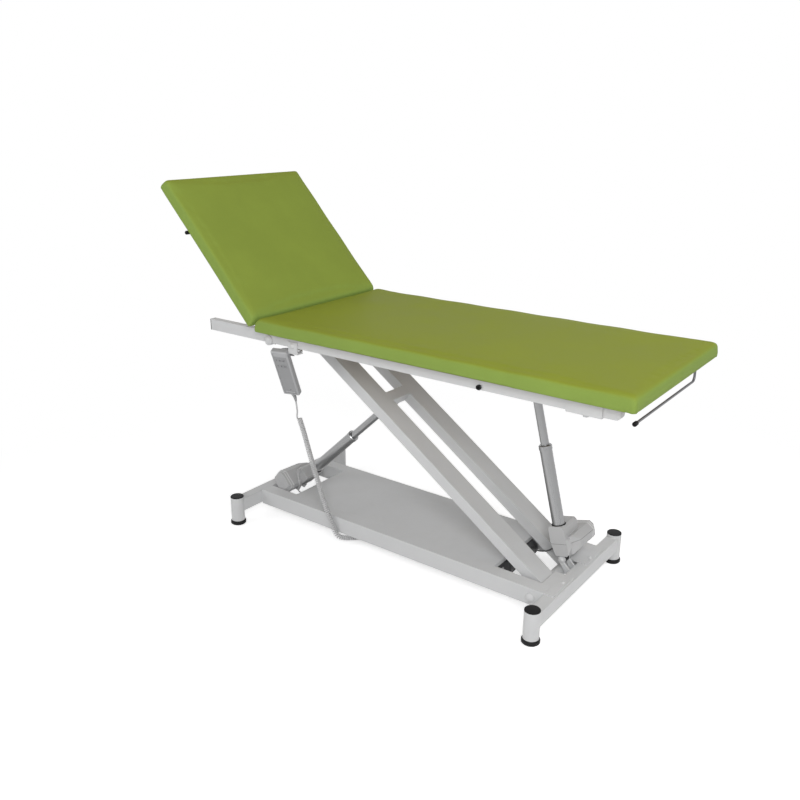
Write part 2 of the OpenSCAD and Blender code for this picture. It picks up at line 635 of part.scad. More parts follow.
module back_cushion() color(vinyl) at_back() translate([back_x1, 0, cushion_z]) scale([-1, 1, 1])
    cushion_cover(back_len);

// Knuckle hinges between the boards
hinge_ys = [-220, 0, 220];
module hinge_leaf(s, y0, y1) {
    r = 4.5;
    difference() {
        union() {
            along_y(hinge_x, hinge_z, y0, y1, r);
            box([hinge_x + (s > 0 ? 4 : -6.4), y0, cushion_z - 2.6],
                [hinge_x + (s > 0 ? 6.4 : -4), y1, hinge_z + 1]);
            box([hinge_x + (s > 0 ? 4 : -56), y0, cushion_z - 2.6],
                [hinge_x + (s > 0 ? 56 : -4), y1, cushion_z - 0.1]);
        }
        along_y(hinge_x, hinge_z, y0 - 1, y1 + 1, 2.5 + run);
    }
}
module seat_hinge_leaves() color("silver") for (y = hinge_ys) {
    for (k = [-1, 1]) hinge_leaf(1, y + k * 20 - 9.5, y + k * 20 + 9.5);
    along_y(hinge_x, hinge_z, y - 29.5, y + 29.5, 2.5);
}
module back_hinge_leaves() color("silver") at_back() for (y = hinge_ys) hinge_leaf(-1, y - 9.5, y + 9.5);

// Handset holder: a plate bolted to the near rail, cranked under it into a flat loop.
// The loop's near side lies behind the handset, under the bridge of its clip.
loop_w = 5.5;
loop_t = 4;
loop_len = 82;
loop_z = bridge_z + 0.7 - loop_t;
loop_in = handset_t / 2 * cos(handset_lean) - hook_low_z * sin(handset_lean) + loop_t / 2 + 0.2;
module loop_outline(w, h) {
    r = h / 2;
    square([w - h, h], center = true);
    for (x = [-1, 1]) translate([x * (w - h) / 2, 0]) circle(r = r);
}
module handset_holder() color(white) {
    x = hinge_x + 157;
    z = frame_z0 + 7;
    difference() {
        box([x - 20, -frame_out_y - 4, loop_z], [x + 22, -frame_out_y - 0.1, z + 13]);
        along_y(x, z, -frame_out_y - 5, -frame_out_y + 1, 4);
    }
    difference() {
        union() {
            translate([handset_at[0], handset_at[1], loop_z]) rotate([0, 0, handset_turn])
                translate([28, loop_in + 17, 0]) linear_extrude(loop_t) loop_outline(loop_len, 34);
            box([x - 18, -frame_out_y - 1, loop_z], [x + 22, -frame_out_y + 24, loop_z + loop_t]);
        }
        translate([handset_at[0], handset_at[1], loop_z - 1]) rotate([0, 0, handset_turn])
            translate([28, loop_in + 17, 0]) linear_extrude(loop_t + 2)
                loop_outline(loop_len - 2 * loop_w, 34 - 2 * loop_w);
    }
    translate([x, -frame_out_y - 4, z]) rotate([90, 0, 0]) dome(10, 6);
    along_y(x, z, -frame_out_y - 4, -frame_out_y, 3.98);
}

paper_rod_x = seat_end_x - paper_rod_dx;
paper_rod_z = cushion_z - paper_rod_dz;
// Paper roll rod: a bent rod in a socket under the seat's far half, with a black end cap
module paper_roll_rod() {
    r = paper_rod_d / 2;
    bend = 14;
    y1 = paper_rod_half + 2;
    cap_y = -paper_rod_half;
    color("silver") {
        translate([paper_rod_x, y1, paper_rod_z + bend])
            cylinder(h = cushion_z - 4 - paper_rod_z - bend, r = r);
        translate([paper_rod_x, y1 - bend, paper_rod_z + bend]) rotate([90, 0, 90])
            rotate([0, 0, -90]) rotate_extrude(angle = 90) translate([bend, 0]) circle(r = r);
        along_y(paper_rod_x, paper_rod_z, cap_y + 8, y1 - bend, r);
    }
    color(dark) difference() {
        union() {
            along_y(paper_rod_x, paper_rod_z, cap_y, cap_y + 14, r + 2.6);
            translate([paper_rod_x, cap_y, paper_rod_z]) rotate([90, 0, 0]) dome(r + 2.6, 3);
        }
        along_y(paper_rod_x, paper_rod_z, cap_y + 8, cap_y + 18, r);
    }
    color(white) difference() {
        box([paper_rod_x - 14, y1 - 22, cushion_z - 20], [paper_rod_x + 14, y1 + 22, cushion_z - 0.1]);
        translate([paper_rod_x, y1, cushion_z - 21]) cylinder(h = 17, r = r);
    }
}

// Actuators, drawn along Z from the lower pin. The motor lies on the far side
// of the tube and bulges to the right of it.
housing_plan = [[-27, -26], [29, -26], [58, 24], [62, 121], [53, 137], [-12, 137], [-27, 121]];
tube_block = [[-16, 0], [-27, 43], [-27, 95], [-22, 104], [22, 104], [29, 95], [29, 43], [25, 0]];
motor_pod = [[-18, 3], [-27, 20], [-27, 50], [-18, 64], [42, 66], [62, 44], [52, 13], [40, 3]];
module housing_slice(u0, u1) {
    intersection() {
        translate([0, 0, u0]) linear_extrude(u1 - u0) polygon(housing_plan);
        translate([0, 0, housing_u0]) union() {
            slab_xz(motor_pod, -10, 140);
            slab_xz(tube_block, -30, 72);
            slab_xz([[-20, 6], [-27, 43], [-20, 60], [29, 60], [44, 43], [30, 6]], -30, 0);
        }
    }
}
module motor_housing() {
    color(shell_grey) {
        difference() {
            housing_slice(housing_u0, housing_u1 - 0.5);
            translate([0, 0, housing_u0 + 8]) cylinder(h = 200, r = spindle_d / 2 + gap);
        }
        difference() {
            housing_slice(housing_u1 + 0.5, housing_u2);
            translate([0, 0, housing_u2 - 20]) cylinder(h = 40, r = outer_d / 2 + 0.1);
            translate([0, 0, housing_u1 - 1]) cylinder(h = 200, r = spindle_d / 2 + gap);
        }
        difference() {
            translate([0, 0, housing_u1 - 2]) linear_extrude(4) offset(delta = -2.5) polygon(housing_plan);
            translate([0, 0, housing_u1 - 3]) cylinder(h = 9, r = spindle_d / 2 + gap);
        }
    }
    // Black clevis eye on the lower pin
    color(dark) difference() {
        union() {
            along_y(0, 0, -eye_half, eye_half, housing_u0 - 0.5);
            box([-12, -eye_half, 0], [12, eye_half, housing_u0 + 0.02]);
        }
        along_y(0, 0, -20, 20, pin_d / 2 + run);
    }
}
module outer_tube() color([0.7, 0.71, 0.73]) {
    difference() {
        translate([0, 0, housing_u2 - 19]) cylinder(h = collar_u - 16 - housing_u2 + 19, r = outer_d / 2);
        translate([0, 0, housing_u2 - 20]) cylinder(h = 400, r = outer_d / 2 - 3);
    }
    difference() {
        translate([0, 0, collar_u - 16]) rotate_extrude() polygon([[0, 0], [outer_d / 2 + 1.5, 0],
            [outer_d / 2 + 1.5, 13], [outer_d / 2 - 1.5, 16], [0, 16]]);
        translate([0, 0, collar_u - 17]) cylinder(h = 20, r = rod_d / 2 + run);
    }
}
module spindle() color("silver") translate([0, 0, housing_u0 + 9])
    cylinder(h = rod_tail_u + nut_len + 3 - housing_u0 - 9, r = spindle_d / 2);
// The rod slides in the outer tube, with the spindle's nut on its lower end
module rod(length) {
    color([0.66, 0.67, 0.69]) difference() {
        translate([0, 0, rod_tail_u + nut_len])
            cylinder(h = length - 12 - rod_tail_u - nut_len, r = rod_d / 2);
        translate([0, 0, rod_tail_u]) cylinder(h = length - 30 - rod_tail_u, r = rod_d / 2 - 4);
        along_y(0, length, -20, 20, 10);
    }
    color(dark) difference() {
        translate([0, 0, rod_tail_u]) cylinder(h = nut_len, r = outer_d / 2 - 3.05);
        translate([0, 0, rod_tail_u - 1]) cylinder(h = nut_len + 2, r = spindle_d / 2 + run);
    }
    color("silver") difference() {
        union() {
            along_y(0, length, -eye_half, eye_half, 15);
            translate([0, 0, length - 34]) cylinder(h = 22, r = rod_d / 2 - 4.02);
        }
        along_y(0, length, -20, 20, pin_d / 2);
    }
    // The middle of the parted pin
    color("silver") along_y(0, length, -eye_half - 1, eye_half + 1, pin_d / 2);
}
module head_motor_housing() at_head_actuator() motor_housing();
module head_outer_tube() at_head_actuator() outer_tube();
module head_spindle() at_head_actuator() spindle();
module head_rod() at_head_actuator() rod(head_len);
module foot_motor_housing() at_foot_actuator() motor_housing();
module foot_outer_tube() at_foot_actuator() outer_tube();
module foot_spindle() at_foot_actuator() spindle();
module foot_rod() at_foot_actuator() rod(foot_len);

// Back section: a tube frame under the board, with the gas spring's top lugs
module back_frame() color(white) at_back() {
    x0 = back_x0 + back_tube_end;
    x1 = back_x1 - back_tube_end;
    z1 = cushion_z - 0.1;
    z0 = z1 - back_tube_h;
    half = back_tube_w / 2;
    in_y = back_rail_y - back_tube_w - 0.1;
    middle = gas_top_x + 60;
    both_sides() rect_tube_x(x0, x1, back_rail_y - back_tube_w, back_rail_y, z0, z1, 2);
    for (x = [x0 + 20, middle, x1 - 20]) rect_tube_y(-in_y, in_y, x - half, x + half, z0, z1, 2);
    both_sides() {
        slab_xz([[gas_top_x - 20, z1], [middle - half - 0.1, z1], [middle - half - 0.1, z0 + 2],
            [gas_top_x + 11, gas_top_z - 4], [gas_top_x + 5, gas_top_z - 11],
            [gas_top_x - 5, gas_top_z - 11], [gas_top_x - 11, gas_top_z - 4]], 10, 14);
        along_y(gas_top_x, gas_top_z, 14, 18, 8);
        // Bearing blocks of the release bar
        difference() {
            box([release_x - 9, bearing_y, release_z - 8], [release_x + 9, bearing_y + 16, z1]);
            along_y(release_x, release_z, bearing_y - 1, bearing_y + 17, release_r + run);
        }
    }
}
module gas_spring_cylinder() color([0.15, 0.15, 0.16]) at_gas() {
    difference() {
        union() {
            along_y(0, 0, -gas_eye_half, gas_eye_half, gas_eye_r);
            translate([0, 0, gas_eye_r - 3]) cylinder(h = gas_neck_u - gas_eye_r + 3, r = gas_body_r - 4);
        }
        along_y(0, 0, -gas_eye_half - 1, gas_eye_half + 1, gas_pin_r + run);
    }
    difference() {
        translate([0, 0, gas_neck_u]) cylinder(h = gas_body_u - gas_neck_u, r = gas_body_r);
        translate([0, 0, gas_neck_u + 8]) cylinder(h = gas_body_u - gas_neck_u - 16, r = gas_body_r - 1.5);
        translate([0, 0, gas_body_u - 20]) cylinder(h = 40, r = gas_rod_r + run);
    }
}
module gas_spring_rod() color("silver") at_gas() {
    difference() {
        translate([0, 0, piston_u + piston_len])
            cylinder(h = gas_len - gas_eye_half - piston_u - piston_len, r = gas_rod_r);
        along_y(0, gas_len, -gas_eye_r, gas_eye_r, gas_eye_r - 0.2);
    }
    translate([0, 0, piston_u]) cylinder(h = piston_len, r = gas_body_r - 1.6);
    difference() {
        along_y(0, gas_len, -gas_eye_half, gas_eye_half, gas_eye_r);
        along_y(0, gas_len, -gas_eye_half - 1, gas_eye_half + 1, gas_rod_r);
    }
    along_y(0, gas_len, -gas_eye_half - 1, gas_eye_half + 1, gas_rod_r);
}
release_r = 4;
release_half = 318;
bearing_y = 240;                                // inner faces of the release bar's bearing blocks
// Cross rod with a lever over the gas spring's valve and a knob at each end
module release_bar() at_back() {
    color("silver") {
        along_y(release_x, release_z, -release_half, release_half, release_r);
        difference() {
            slab_xz([[release_x - 8, release_z - 8], [release_x + 6, release_z - 9],
                [gas_top_x - 18, gas_top_z - 4], [gas_top_x - 18, gas_top_z + 5],
                [release_x + 4, release_z + 9], [release_x - 8, release_z + 8]], -6, 6);
            along_y(release_x, release_z, -7, 7, release_r);
        }
    }
    color(dark) both_sides() difference() {
        union() {
            along_y(release_x, release_z, release_half - 10, release_half + 6, release_r + 3);
            translate([release_x, release_half + 6, release_z]) rotate([-90, 0, 0]) dome(release_r + 3, 4);
        }
        along_y(release_x, release_z, release_half - 11, release_half, release_r);
    }
}

// Handset, drawn upright about its middle with its keys on the near face
module rounded_slab(w, h, r, y0, y1) {
    translate([0, y1, 0]) rotate([90, 0, 0]) linear_extrude(y1 - y0) intersection() {
        square([w, h], center = true);
        union() {
            square([w - 2 * r, h], center = true);
            square([w, h - 2 * r], center = true);
            for (x = [-1, 1], z = [-1, 1]) translate([x * (w / 2 - r), z * (h / 2 - r)]) circle(r = r);
        }
    }
}
key_xs = [-3, 10];
key_zs = [62, 36];
key_r = 6;
module handset_shell() color([0.55, 0.56, 0.57]) at_handset() {
    half = handset_t / 2;
    difference() {
        union() {
            rounded_slab(handset_w, handset_l, 7, -half + 4, half - 4);
            rounded_slab(handset_w - 5, handset_l - 5, 6, -half, half);
        }
        translate([0, 0, 4]) rounded_slab(handset_w - 15, handset_l - 24, 3, -half - 1, -half + 2);
        for (x = key_xs, z = key_zs) translate([x, -half - 1, z]) rotate([-90, 0, 0])
            cylinder(h = 8, r = key_r + gap);
    }
    // Strain relief at the cord's exit
    difference() {
        translate([cord_x, 0, -handset_l / 2 - 16]) cylinder(h = 17, r1 = 4, r2 = 7);
        translate([cord_x, 0, -handset_l / 2 - 17]) cylinder(h = 3, r = cord_d / 2 + gap);
    }
}
module handset_key(x, z) color([0.5, 0.51, 0.52]) at_handset()
    translate([x, -handset_t / 2 + 1, z]) rotate([-90, 0, 0]) cylinder(h = 5, r = key_r);
module key_raise() handset_key(key_xs[1], key_zs[0]);
module key_lower() handset_key(key_xs[0], key_zs[0]);
module key_foot_up() handset_key(key_xs[1], key_zs[1]);
module key_foot_down() handset_key(key_xs[0], key_zs[1]);
// Clip on the handset's back, whose bridge rests on the holder's loop
module handset_hook() color([0.5, 0.51, 0.52]) at_handset() {
    y = handset_t / 2;
    back_y = y + loop_w + 4;
    half = 7;
    z = hook_low_z;
    box([hook_x - half, y, z], [hook_x + half, back_y + 2.4, z + 4]);
    box([hook_x - half, back_y, z - 22], [hook_x + half, back_y + 2.4, z]);
    slab_xz([[hook_x - half, z - 22], [hook_x + half, z - 22], [hook_x + half + 6, z - 30],
        [hook_x - half + 3, z - 28]], back_y, back_y + 2.4);
}

// Cords. A frame of two cross directions is carried along the route without twist.
function unit(v) = v / norm(v);
function carry(n, t) = unit(n - (n * t) * t);
function frames(t, k, n) = let (m = carry(n, t[k]))
    k == len(t) - 1 ? [m] : concat([m], frames(t, k + 1, m));
function headings(p) = [for (i = [0 : len(p) - 1])
    unit(p[min(i + 1, len(p) - 1)] - p[max(i - 1, 0)])];
module tube(points, r, sides) {
    t = headings(points);
    f = frames(t, 0, [0.3, 0.9, 0.1]);
    n = len(points);
    polyhedron([for (i = [0 : n - 1], k = [0 : sides - 1]) let (a = 360 * k / sides, b = cross(t[i], f[i]))
        points[i] + r * (cos(a) * f[i] + sin(a) * b)],
        concat([[for (k = [0 : sides - 1]) k]],
            [for (i = [0 : n - 2], k = [0 : sides - 1]) let (j = (k + 1) % sides)
                [i * sides + k, i * sides + sides + k, i * sides + j]],
            [for (i = [0 : n - 2], k = [0 : sides - 1]) let (j = (k + 1) % sides)
                [i * sides + j, i * sides + sides + k, i * sides + sides + j]],
            [[for (k = [sides - 1 : -1 : 0]) (n - 1) * sides + k]]));
}
// A smooth curve through the route's points
function smooth(p, k, u) = let (
    a = p[max(k - 1, 0)], b = p[k], c = p[k + 1], d = p[min(k + 2, len(p) - 1)])
    0.5 * (2 * b + (c - a) * u + (2 * a - 5 * b + 4 * c - d) * u * u + (3 * b - a - 3 * c + d) * u * u * u);
function curve(p, steps) = concat(
    [for (k = [0 : len(p) - 2], i = [0 : steps - 1]) smooth(p, k, i / steps)], [p[len(p) - 1]]);
function lengths(p, k, s) = k == len(p) - 1 ? [s]
    : concat([s], lengths(p, k + 1, s + norm(p[k + 1] - p[k])));
turns = 66;
ring_count = 8;
axis_points = curve(curl_path, 12);
axis_s = lengths(axis_points, 0, 0);
axis_t = headings(axis_points);
axis_f = frames(axis_t, 0, [0, 1, 0]);
axis_len = axis_s[len(axis_s) - 1];
helix_r = (curl_d - cord_d) / 2;
lead = 2 * cord_d;
lead_top = 96;                                  // straight length below the handset
// The curls' pitch grows a little towards the lower end, where the cord is stretched
function place(q) = lead_top + (axis_len - lead_top - lead) * (0.86 * q + 0.14 * q * q);
function at_length(s) = let (k = max([for (i = [0 : len(axis_s) - 2]) if (axis_s[i] <= s) i]),
    u = (s - axis_s[k]) / (axis_s[k + 1] - axis_s[k]))
    [axis_points[k] + u * (axis_points[k + 1] - axis_points[k]),
     unit(axis_t[k] + u * (axis_t[k + 1] - axis_t[k])),
     unit(axis_f[k] + u * (axis_f[k + 1] - axis_f[k]))];
curl_points = [for (i = [0 : turns * ring_count]) let (
    q = i / (turns * ring_count), c = at_length(place(q)), a = 360 * turns * q,
    b = cross(c[1], c[2]), grow = min(1, min(q, 1 - q) * turns * 1.5))
    c[0] + helix_r * grow * (cos(a) * c[2] + sin(a) * b)];
cord_points = concat([for (i = [0 : 9]) at_length(lead_top * i / 10)[0]], curl_points,
    [axis_points[len(axis_points) - 1]]);
turn_gap = min([for (i = [0 : (turns - 1) * ring_count])
    norm(curl_points[i + ring_count] - curl_points[i])]) - cord_d;
echo(curly_cord_least_gap_mm = turn_gap, curly_cord_axis_mm = axis_len);
module handset_cord() color([0.75, 0.75, 0.76]) tube(cord_points, cord_d / 2, 6);
module cord_tail() color([0.75, 0.75, 0.76]) tube(curve(tail_path, 2), cord_d / 2, 8);
module head_motor_cable() color([0.75, 0.75, 0.76]) tube(curve(head_cable_path, 2), cable_d / 2, 8);
module foot_motor_cable() color([0.3, 0.3, 0.31]) tube(curve(foot_cable_path, 2), cable_d / 2, 8);

base_rails();
base_cross_bars();
deck();
base_middle_tube();
end_plates();
plate_bolts();
leg_tubes();
leg_caps();
rubber_feet();
lower_pivot_shaft();
motor_brackets();
motor_pins();
control_unit();
near_lift_arm();
far_lift_arm();
arm_cross_tube();
lower_pivot_tube();
upper_pivot_tube();
pivot_bushes();
lift_lugs();
near_side_rail();
far_side_rail();
frame_cross_tubes();
rail_ends();
upper_pivot_shaft();
actuator_cross_shaft();
board_screws();
seat_board();
seat_cushion();
seat_hinge_leaves();
handset_holder();
paper_roll_rod();
head_motor_housing();
head_outer_tube();
head_spindle();
head_rod();
foot_motor_housing();
foot_outer_tube();
foot_spindle();
foot_rod();
back_board();
back_cushion();
back_frame();
back_hinge_leaves();
gas_spring_cylinder();
gas_spring_rod();
release_bar();
handset_shell();
handset_hook();
key_raise();
key_lower();
key_foot_up();
key_foot_down();
handset_cord();
cord_tail();
head_motor_cable();
foot_motor_cable();
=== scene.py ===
"""Dresses an examination table: vinyl pads, motor shells, handset, cords and every part's finish."""

import itertools
import json
import math

import bpy
import numpy as np
from mathutils import Matrix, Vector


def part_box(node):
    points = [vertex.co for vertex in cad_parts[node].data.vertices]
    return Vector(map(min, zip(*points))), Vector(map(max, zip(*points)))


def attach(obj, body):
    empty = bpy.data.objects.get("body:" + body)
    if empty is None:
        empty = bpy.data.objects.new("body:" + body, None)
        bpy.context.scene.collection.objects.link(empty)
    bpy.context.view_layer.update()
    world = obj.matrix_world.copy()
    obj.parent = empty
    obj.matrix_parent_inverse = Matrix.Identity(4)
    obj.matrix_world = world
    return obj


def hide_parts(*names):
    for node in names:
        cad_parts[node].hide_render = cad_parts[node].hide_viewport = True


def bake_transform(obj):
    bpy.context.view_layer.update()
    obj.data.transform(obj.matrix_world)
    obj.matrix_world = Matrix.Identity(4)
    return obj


bl_info = {
    "name": "Examination table dressing",
    "version": (1, 0, 0),
    "blender": (4, 5, 0),
    "location": "3D View > Sidebar > Examination table",
    "description": "Vinyl pads, motor shells, handset, cords and finishes of a height-adjustable examination table",
    "category": "Add Mesh",
}

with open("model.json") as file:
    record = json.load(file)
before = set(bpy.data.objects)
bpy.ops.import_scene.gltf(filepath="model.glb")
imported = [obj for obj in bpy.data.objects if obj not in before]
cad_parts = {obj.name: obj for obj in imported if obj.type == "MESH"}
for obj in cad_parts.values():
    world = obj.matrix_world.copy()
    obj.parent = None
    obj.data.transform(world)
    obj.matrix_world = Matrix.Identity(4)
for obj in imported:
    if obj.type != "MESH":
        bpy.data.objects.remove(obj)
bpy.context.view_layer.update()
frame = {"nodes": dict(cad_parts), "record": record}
PAD_LOW, PAD_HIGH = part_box("seat_cushion")
PAD_THICKNESS = PAD_HIGH.z - PAD_LOW.z
BOARD_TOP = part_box("seat_board")[1].z

# Routes of the cords, in metres. The curly one hangs from the handset to the base.
CURLY_ROUTE = [(-0.3859, -0.2281, 0.5544), (-0.3873, -0.2232, 0.5435), (-0.39, -0.2165, 0.52),
               (-0.3885, -0.213, 0.484), (-0.381, -0.211, 0.461), (-0.365, -0.21, 0.417), (-0.346, -0.209, 0.356),
               (-0.326, -0.208, 0.294), (-0.3045, -0.207, 0.233), (-0.283, -0.206, 0.171), (-0.264, -0.205, 0.124),
               (-0.243, -0.205, 0.08), (-0.229, -0.204, 0.051), (-0.216, -0.199, 0.033), (-0.198, -0.185, 0.026),
               (-0.17, -0.165, 0.027), (-0.138, -0.147, 0.03), (-0.104, -0.134, 0.032), (-0.084, -0.126, 0.032)]
TAIL_ROUTE = [(-0.0838, -0.1259, 0.032), (-0.064, -0.118, 0.032), (0, -0.112, 0.034), (0.12, -0.1, 0.036),
              (0.24, -0.084, 0.038), (0.33, -0.086, 0.046), (0.374, -0.096, 0.054), (0.398, -0.084, 0.057),
              (0.404, -0.073, 0.057), (0.404, -0.0623, 0.057)]
HEAD_LEAD_ROUTE = [(-0.5223, -0.0726, 0.1699), (-0.521, -0.082, 0.171), (-0.518, -0.091, 0.162),
                   (-0.5125, -0.095, 0.145), (-0.509, -0.095, 0.126), (-0.514, -0.092, 0.108), (-0.525, -0.086, 0.093),
                   (-0.527, -0.078, 0.08), (-0.515, -0.07, 0.073), (-0.49, -0.062, 0.076), (-0.455, -0.052, 0.084),
                   (-0.4, -0.044, 0.094), (-0.3, -0.042, 0.092), (-0.225, -0.04, 0.06), (-0.18, -0.04, 0.056),
                   (-0.135, -0.04, 0.06), (-0.06, -0.04, 0.09), (0.12, -0.04, 0.09), (0.2, -0.04, 0.06),
                   (0.25, -0.04, 0.058), (0.3, -0.04, 0.057), (0.345, -0.04, 0.057), (0.3746, -0.04, 0.057)]
FOOT_LEAD_ROUTE = [(0.4229, 0.02, 0.0796), (0.43, 0.02, 0.088), (0.446, 0.02, 0.102), (0.47, 0.021, 0.112),
                   (0.497, 0.023, 0.115), (0.52, 0.027, 0.122), (0.536, 0.031, 0.134), (0.547, 0.034, 0.145),
                   (0.5574, 0.034, 0.151)]
LEAD_LENGTH, END_LENGTH = 0.092, 0.03  # the curly cord's straight lead and its straight last stretch
# Heights where the curly cord's two pieces meet, its curls begin, and its pieces follow the lift's arms alone
CURLY_HEIGHTS = (0.356, 0.462, 0.374, 0.34)
CURL_STEPS = 20  # points round one curl
CORD_SIDES, LEAD_SIDES = 12, 14
CURLY_REST = (-0.216, -0.199, 0.033)  # from here on it lies on the deck
HANDSET_OUTLET = (0, 0, -0.097)  # on the handset, just inside its lower end


# Places
def turned(axis, degrees):
    """Rotation matrix about x, y or z by the right-hand rule."""
    c, s = math.cos(math.radians(degrees)), math.sin(math.radians(degrees))
    return np.array({"x": [[1, 0, 0], [0, c, -s], [0, s, c]], "y": [[c, 0, s], [0, 1, 0], [-s, 0, c]],
                     "z": [[c, -s, 0], [s, c, 0], [0, 0, 1]]}[axis], float)


LEAD_IN = 0.03  # the straight lead leaves the curls' middle over this length
FIRST_ANGLE = math.radians(233)  # where round the middle the first curl begins
# At rest: how the actuators lean, how far the back section is raised, in degrees, and the middle of its hinge
HEAD_TILT, FOOT_TILT = 46.860186, -14.396306
BACK_ANGLE = 47
HINGE = np.array([-0.47097, 0, 0.816])
# Places, each a point and a matrix: both actuators' lower pins, the handset's middle and the raised back section
HEAD_ACTUATOR = (np.array([-0.588, 0, 0.085]), turned("y", HEAD_TILT) @ turned("z", 180))
FOOT_ACTUATOR = (np.array([0.59, 0.012, 0.128]), turned("y", FOOT_TILT))
HANDSET = (np.array([-0.37597, -0.2755, 0.658]), turned("z", 16) @ turned("x", 25))
RAISED = (HINGE - turned("y", BACK_ANGLE) @ HINGE, turned("y", BACK_ANGLE))


def put(points, place):
    """Points turned by a place's matrix, then moved to its point."""
    return np.asarray(points, float) @ place[1].T + place[0]


# Surfaces
def skin(rings, ends=True):
    """A closed skin P(i, k), point k of ring i, with quads between neighbours and a flat face on each end."""
    rings = np.asarray(rings, float)
    m, n = rings.shape[:2]
    i, k = np.meshgrid(np.arange(m - 1), np.arange(n), indexing="ij")
    a, b = i * n + k, i * n + (k + 1) % n
    quads = np.stack([a, b, b + n, a + n], -1).reshape(-1, 4)
    caps = [np.arange(n)[::-1], np.arange((m - 1) * n, m * n)] if ends else []
    return outward((rings.reshape(-1, 3), quads, caps))


def outward(part):
    """The same surface with its faces turned outwards: the sum of its faces' volumes from the middle is positive."""
    points, quads, caps = part
    p = points - points.mean(0)
    volume = sum(np.einsum("ij,ij->i", p[quads[:, 0]], np.cross(p[quads[:, j]], p[quads[:, j + 1]])).sum()
                 for j in (1, 2))
    volume += sum(np.einsum("j,ij->i", p[c[0]], np.cross(p[c[1:-1]], p[c[2:]])).sum() for c in caps)
    return part if volume > 0 else (points, quads[:, ::-1], [c[::-1] for c in caps])


def joined(parts):
    """Several closed surfaces as one."""
    points, quads, caps, start = [], [], [], 0
    for p, q, c in parts:
        points.append(p)
        quads.append(q + start)
        caps += [x + start for x in c]
        start += len(p)
    return np.vstack(points), np.vstack(quads), caps


def moved(part, place):
    """A surface put in its place."""
    return put(part[0], place), part[1], part[2]


def lathe(profile, sides=40):
    """A turned form: profile gives (radius, height), and P(i, a) = (r cos a, r sin a, h)."""
    profile = np.asarray(profile, float)
    a = np.linspace(0, 2 * np.pi, sides, endpoint=False)
    r = np.maximum(profile[:, 0], 1e-5)[:, None]
    return skin(np.stack([r * np.cos(a), r * np.sin(a), np.broadcast_to(profile[:, 1:2], (len(r), sides))], -1))


def anticlockwise(corners):
    """An outline's corners as an array, in the order that makes its signed area positive."""
    p = np.asarray(corners, float)
    area = np.sum(p[:, 0] * np.roll(p[:, 1], -1) - p[:, 1] * np.roll(p[:, 0], -1))
    return p if area > 0 else p[::-1]


def rounded_outline(corners, radius, inset=0.0, steps=5):
    """A convex outline drawn in by inset, each corner an arc. The arc's middle lies inset + r inside both sides,
    with r the radius less the inset, and its points go from one side's normal to the next by even angles."""
    p = anticlockwise(corners)
    ahead = np.roll(p, -1, 0) - p
    ahead /= np.linalg.norm(ahead, axis=1)[:, None]
    back = np.roll(ahead, 1, 0)
    n1 = np.stack([ahead[:, 1], -ahead[:, 0]], -1)
    n0 = np.stack([back[:, 1], -back[:, 0]], -1)
    r = np.maximum(np.broadcast_to(radius, len(p)) - inset, 2e-4)
    middle = p - (n0 + n1) * ((inset + r) / (1 + np.sum(n0 * n1, 1)))[:, None]
    a0 = np.arctan2(n0[:, 1], n0[:, 0])
    sweep = (np.arctan2(n1[:, 1], n1[:, 0]) - a0) % (2 * np.pi)
    a = a0[:, None] + sweep[:, None] * np.linspace(0, 1, steps + 1)
    return (middle[:, None] + r[:, None, None] * np.stack([np.cos(a), np.sin(a)], -1)).reshape(-1, 2)


def rectangle(w, h, x=0.0, y=0.0):
    """Corners of a rectangle w by h about (x, y)."""
    return [(x - w / 2, y - h / 2), (x + w / 2, y - h / 2), (x + w / 2, y + h / 2), (x - w / 2, y + h / 2)]


def level(outline, height):
    """An outline's points, all at one height."""
    return np.insert(outline, 2, height, axis=1)


def moulded(corners, radius, profile, steps=5):
    """A moulded form: ring i is the outline drawn in by profile[i][0], at height profile[i][1]. In x, y and height."""
    return skin([level(rounded_outline(corners, radius, inset, steps), h) for inset, h in profile])


def upright(part):
    """A form drawn in x, y and height, turned so that its plane is x and z and its height runs towards -y."""
    return part[0] @ turned("x", 90).T, part[1], part[2]


def faceted(planes):
    """A convex solid bounded by planes n.x = n.p. Its corners are the points where three planes meet and that lie
    behind all the others, and the corners of each face go round it by their angle about its middle."""
    normals = np.array([n for n, _ in planes], float)
    normals /= np.linalg.norm(normals, axis=1)[:, None]
    reach = np.einsum("ij,ij->i", normals, np.array([p for _, p in planes], float))
    threes = np.array(list(itertools.combinations(range(len(planes)), 3)))
    threes = threes[np.abs(np.linalg.det(normals[threes])) > 1e-6]
    corners = np.linalg.solve(normals[threes], reach[threes][..., None])[..., 0]
    corners = np.unique(np.round(corners[(corners @ normals.T <= reach + 1e-7).all(1)], 6), axis=0)
    faces = []
    for n, h in zip(normals, reach):
        on = np.nonzero(np.abs(corners @ n - h) < 3e-6)[0]
        if len(on) > 2:
            arm = corners[on] - corners[on].mean(0)
            faces.append(on[np.argsort(np.arctan2(arm @ np.cross(n, arm[0]), arm @ arm[0]))])
    return corners, np.empty((0, 4), int), faces


def edge_planes(outline, axes, proud=0.0):
    """The planes through the sides of a convex outline, extruded along the third axis and moved outwards by proud."""
    p = anticlockwise(outline)
    normals, points = np.zeros((len(p), 3)), np.zeros((len(p), 3))
    normals[:, axes] = (np.roll(p, -1, 0) - p)[:, ::-1] * (1, -1)
    normals /= np.linalg.norm(normals, axis=1)[:, None]
    points[:, axes] = p
    return list(zip(normals, points + proud * normals))


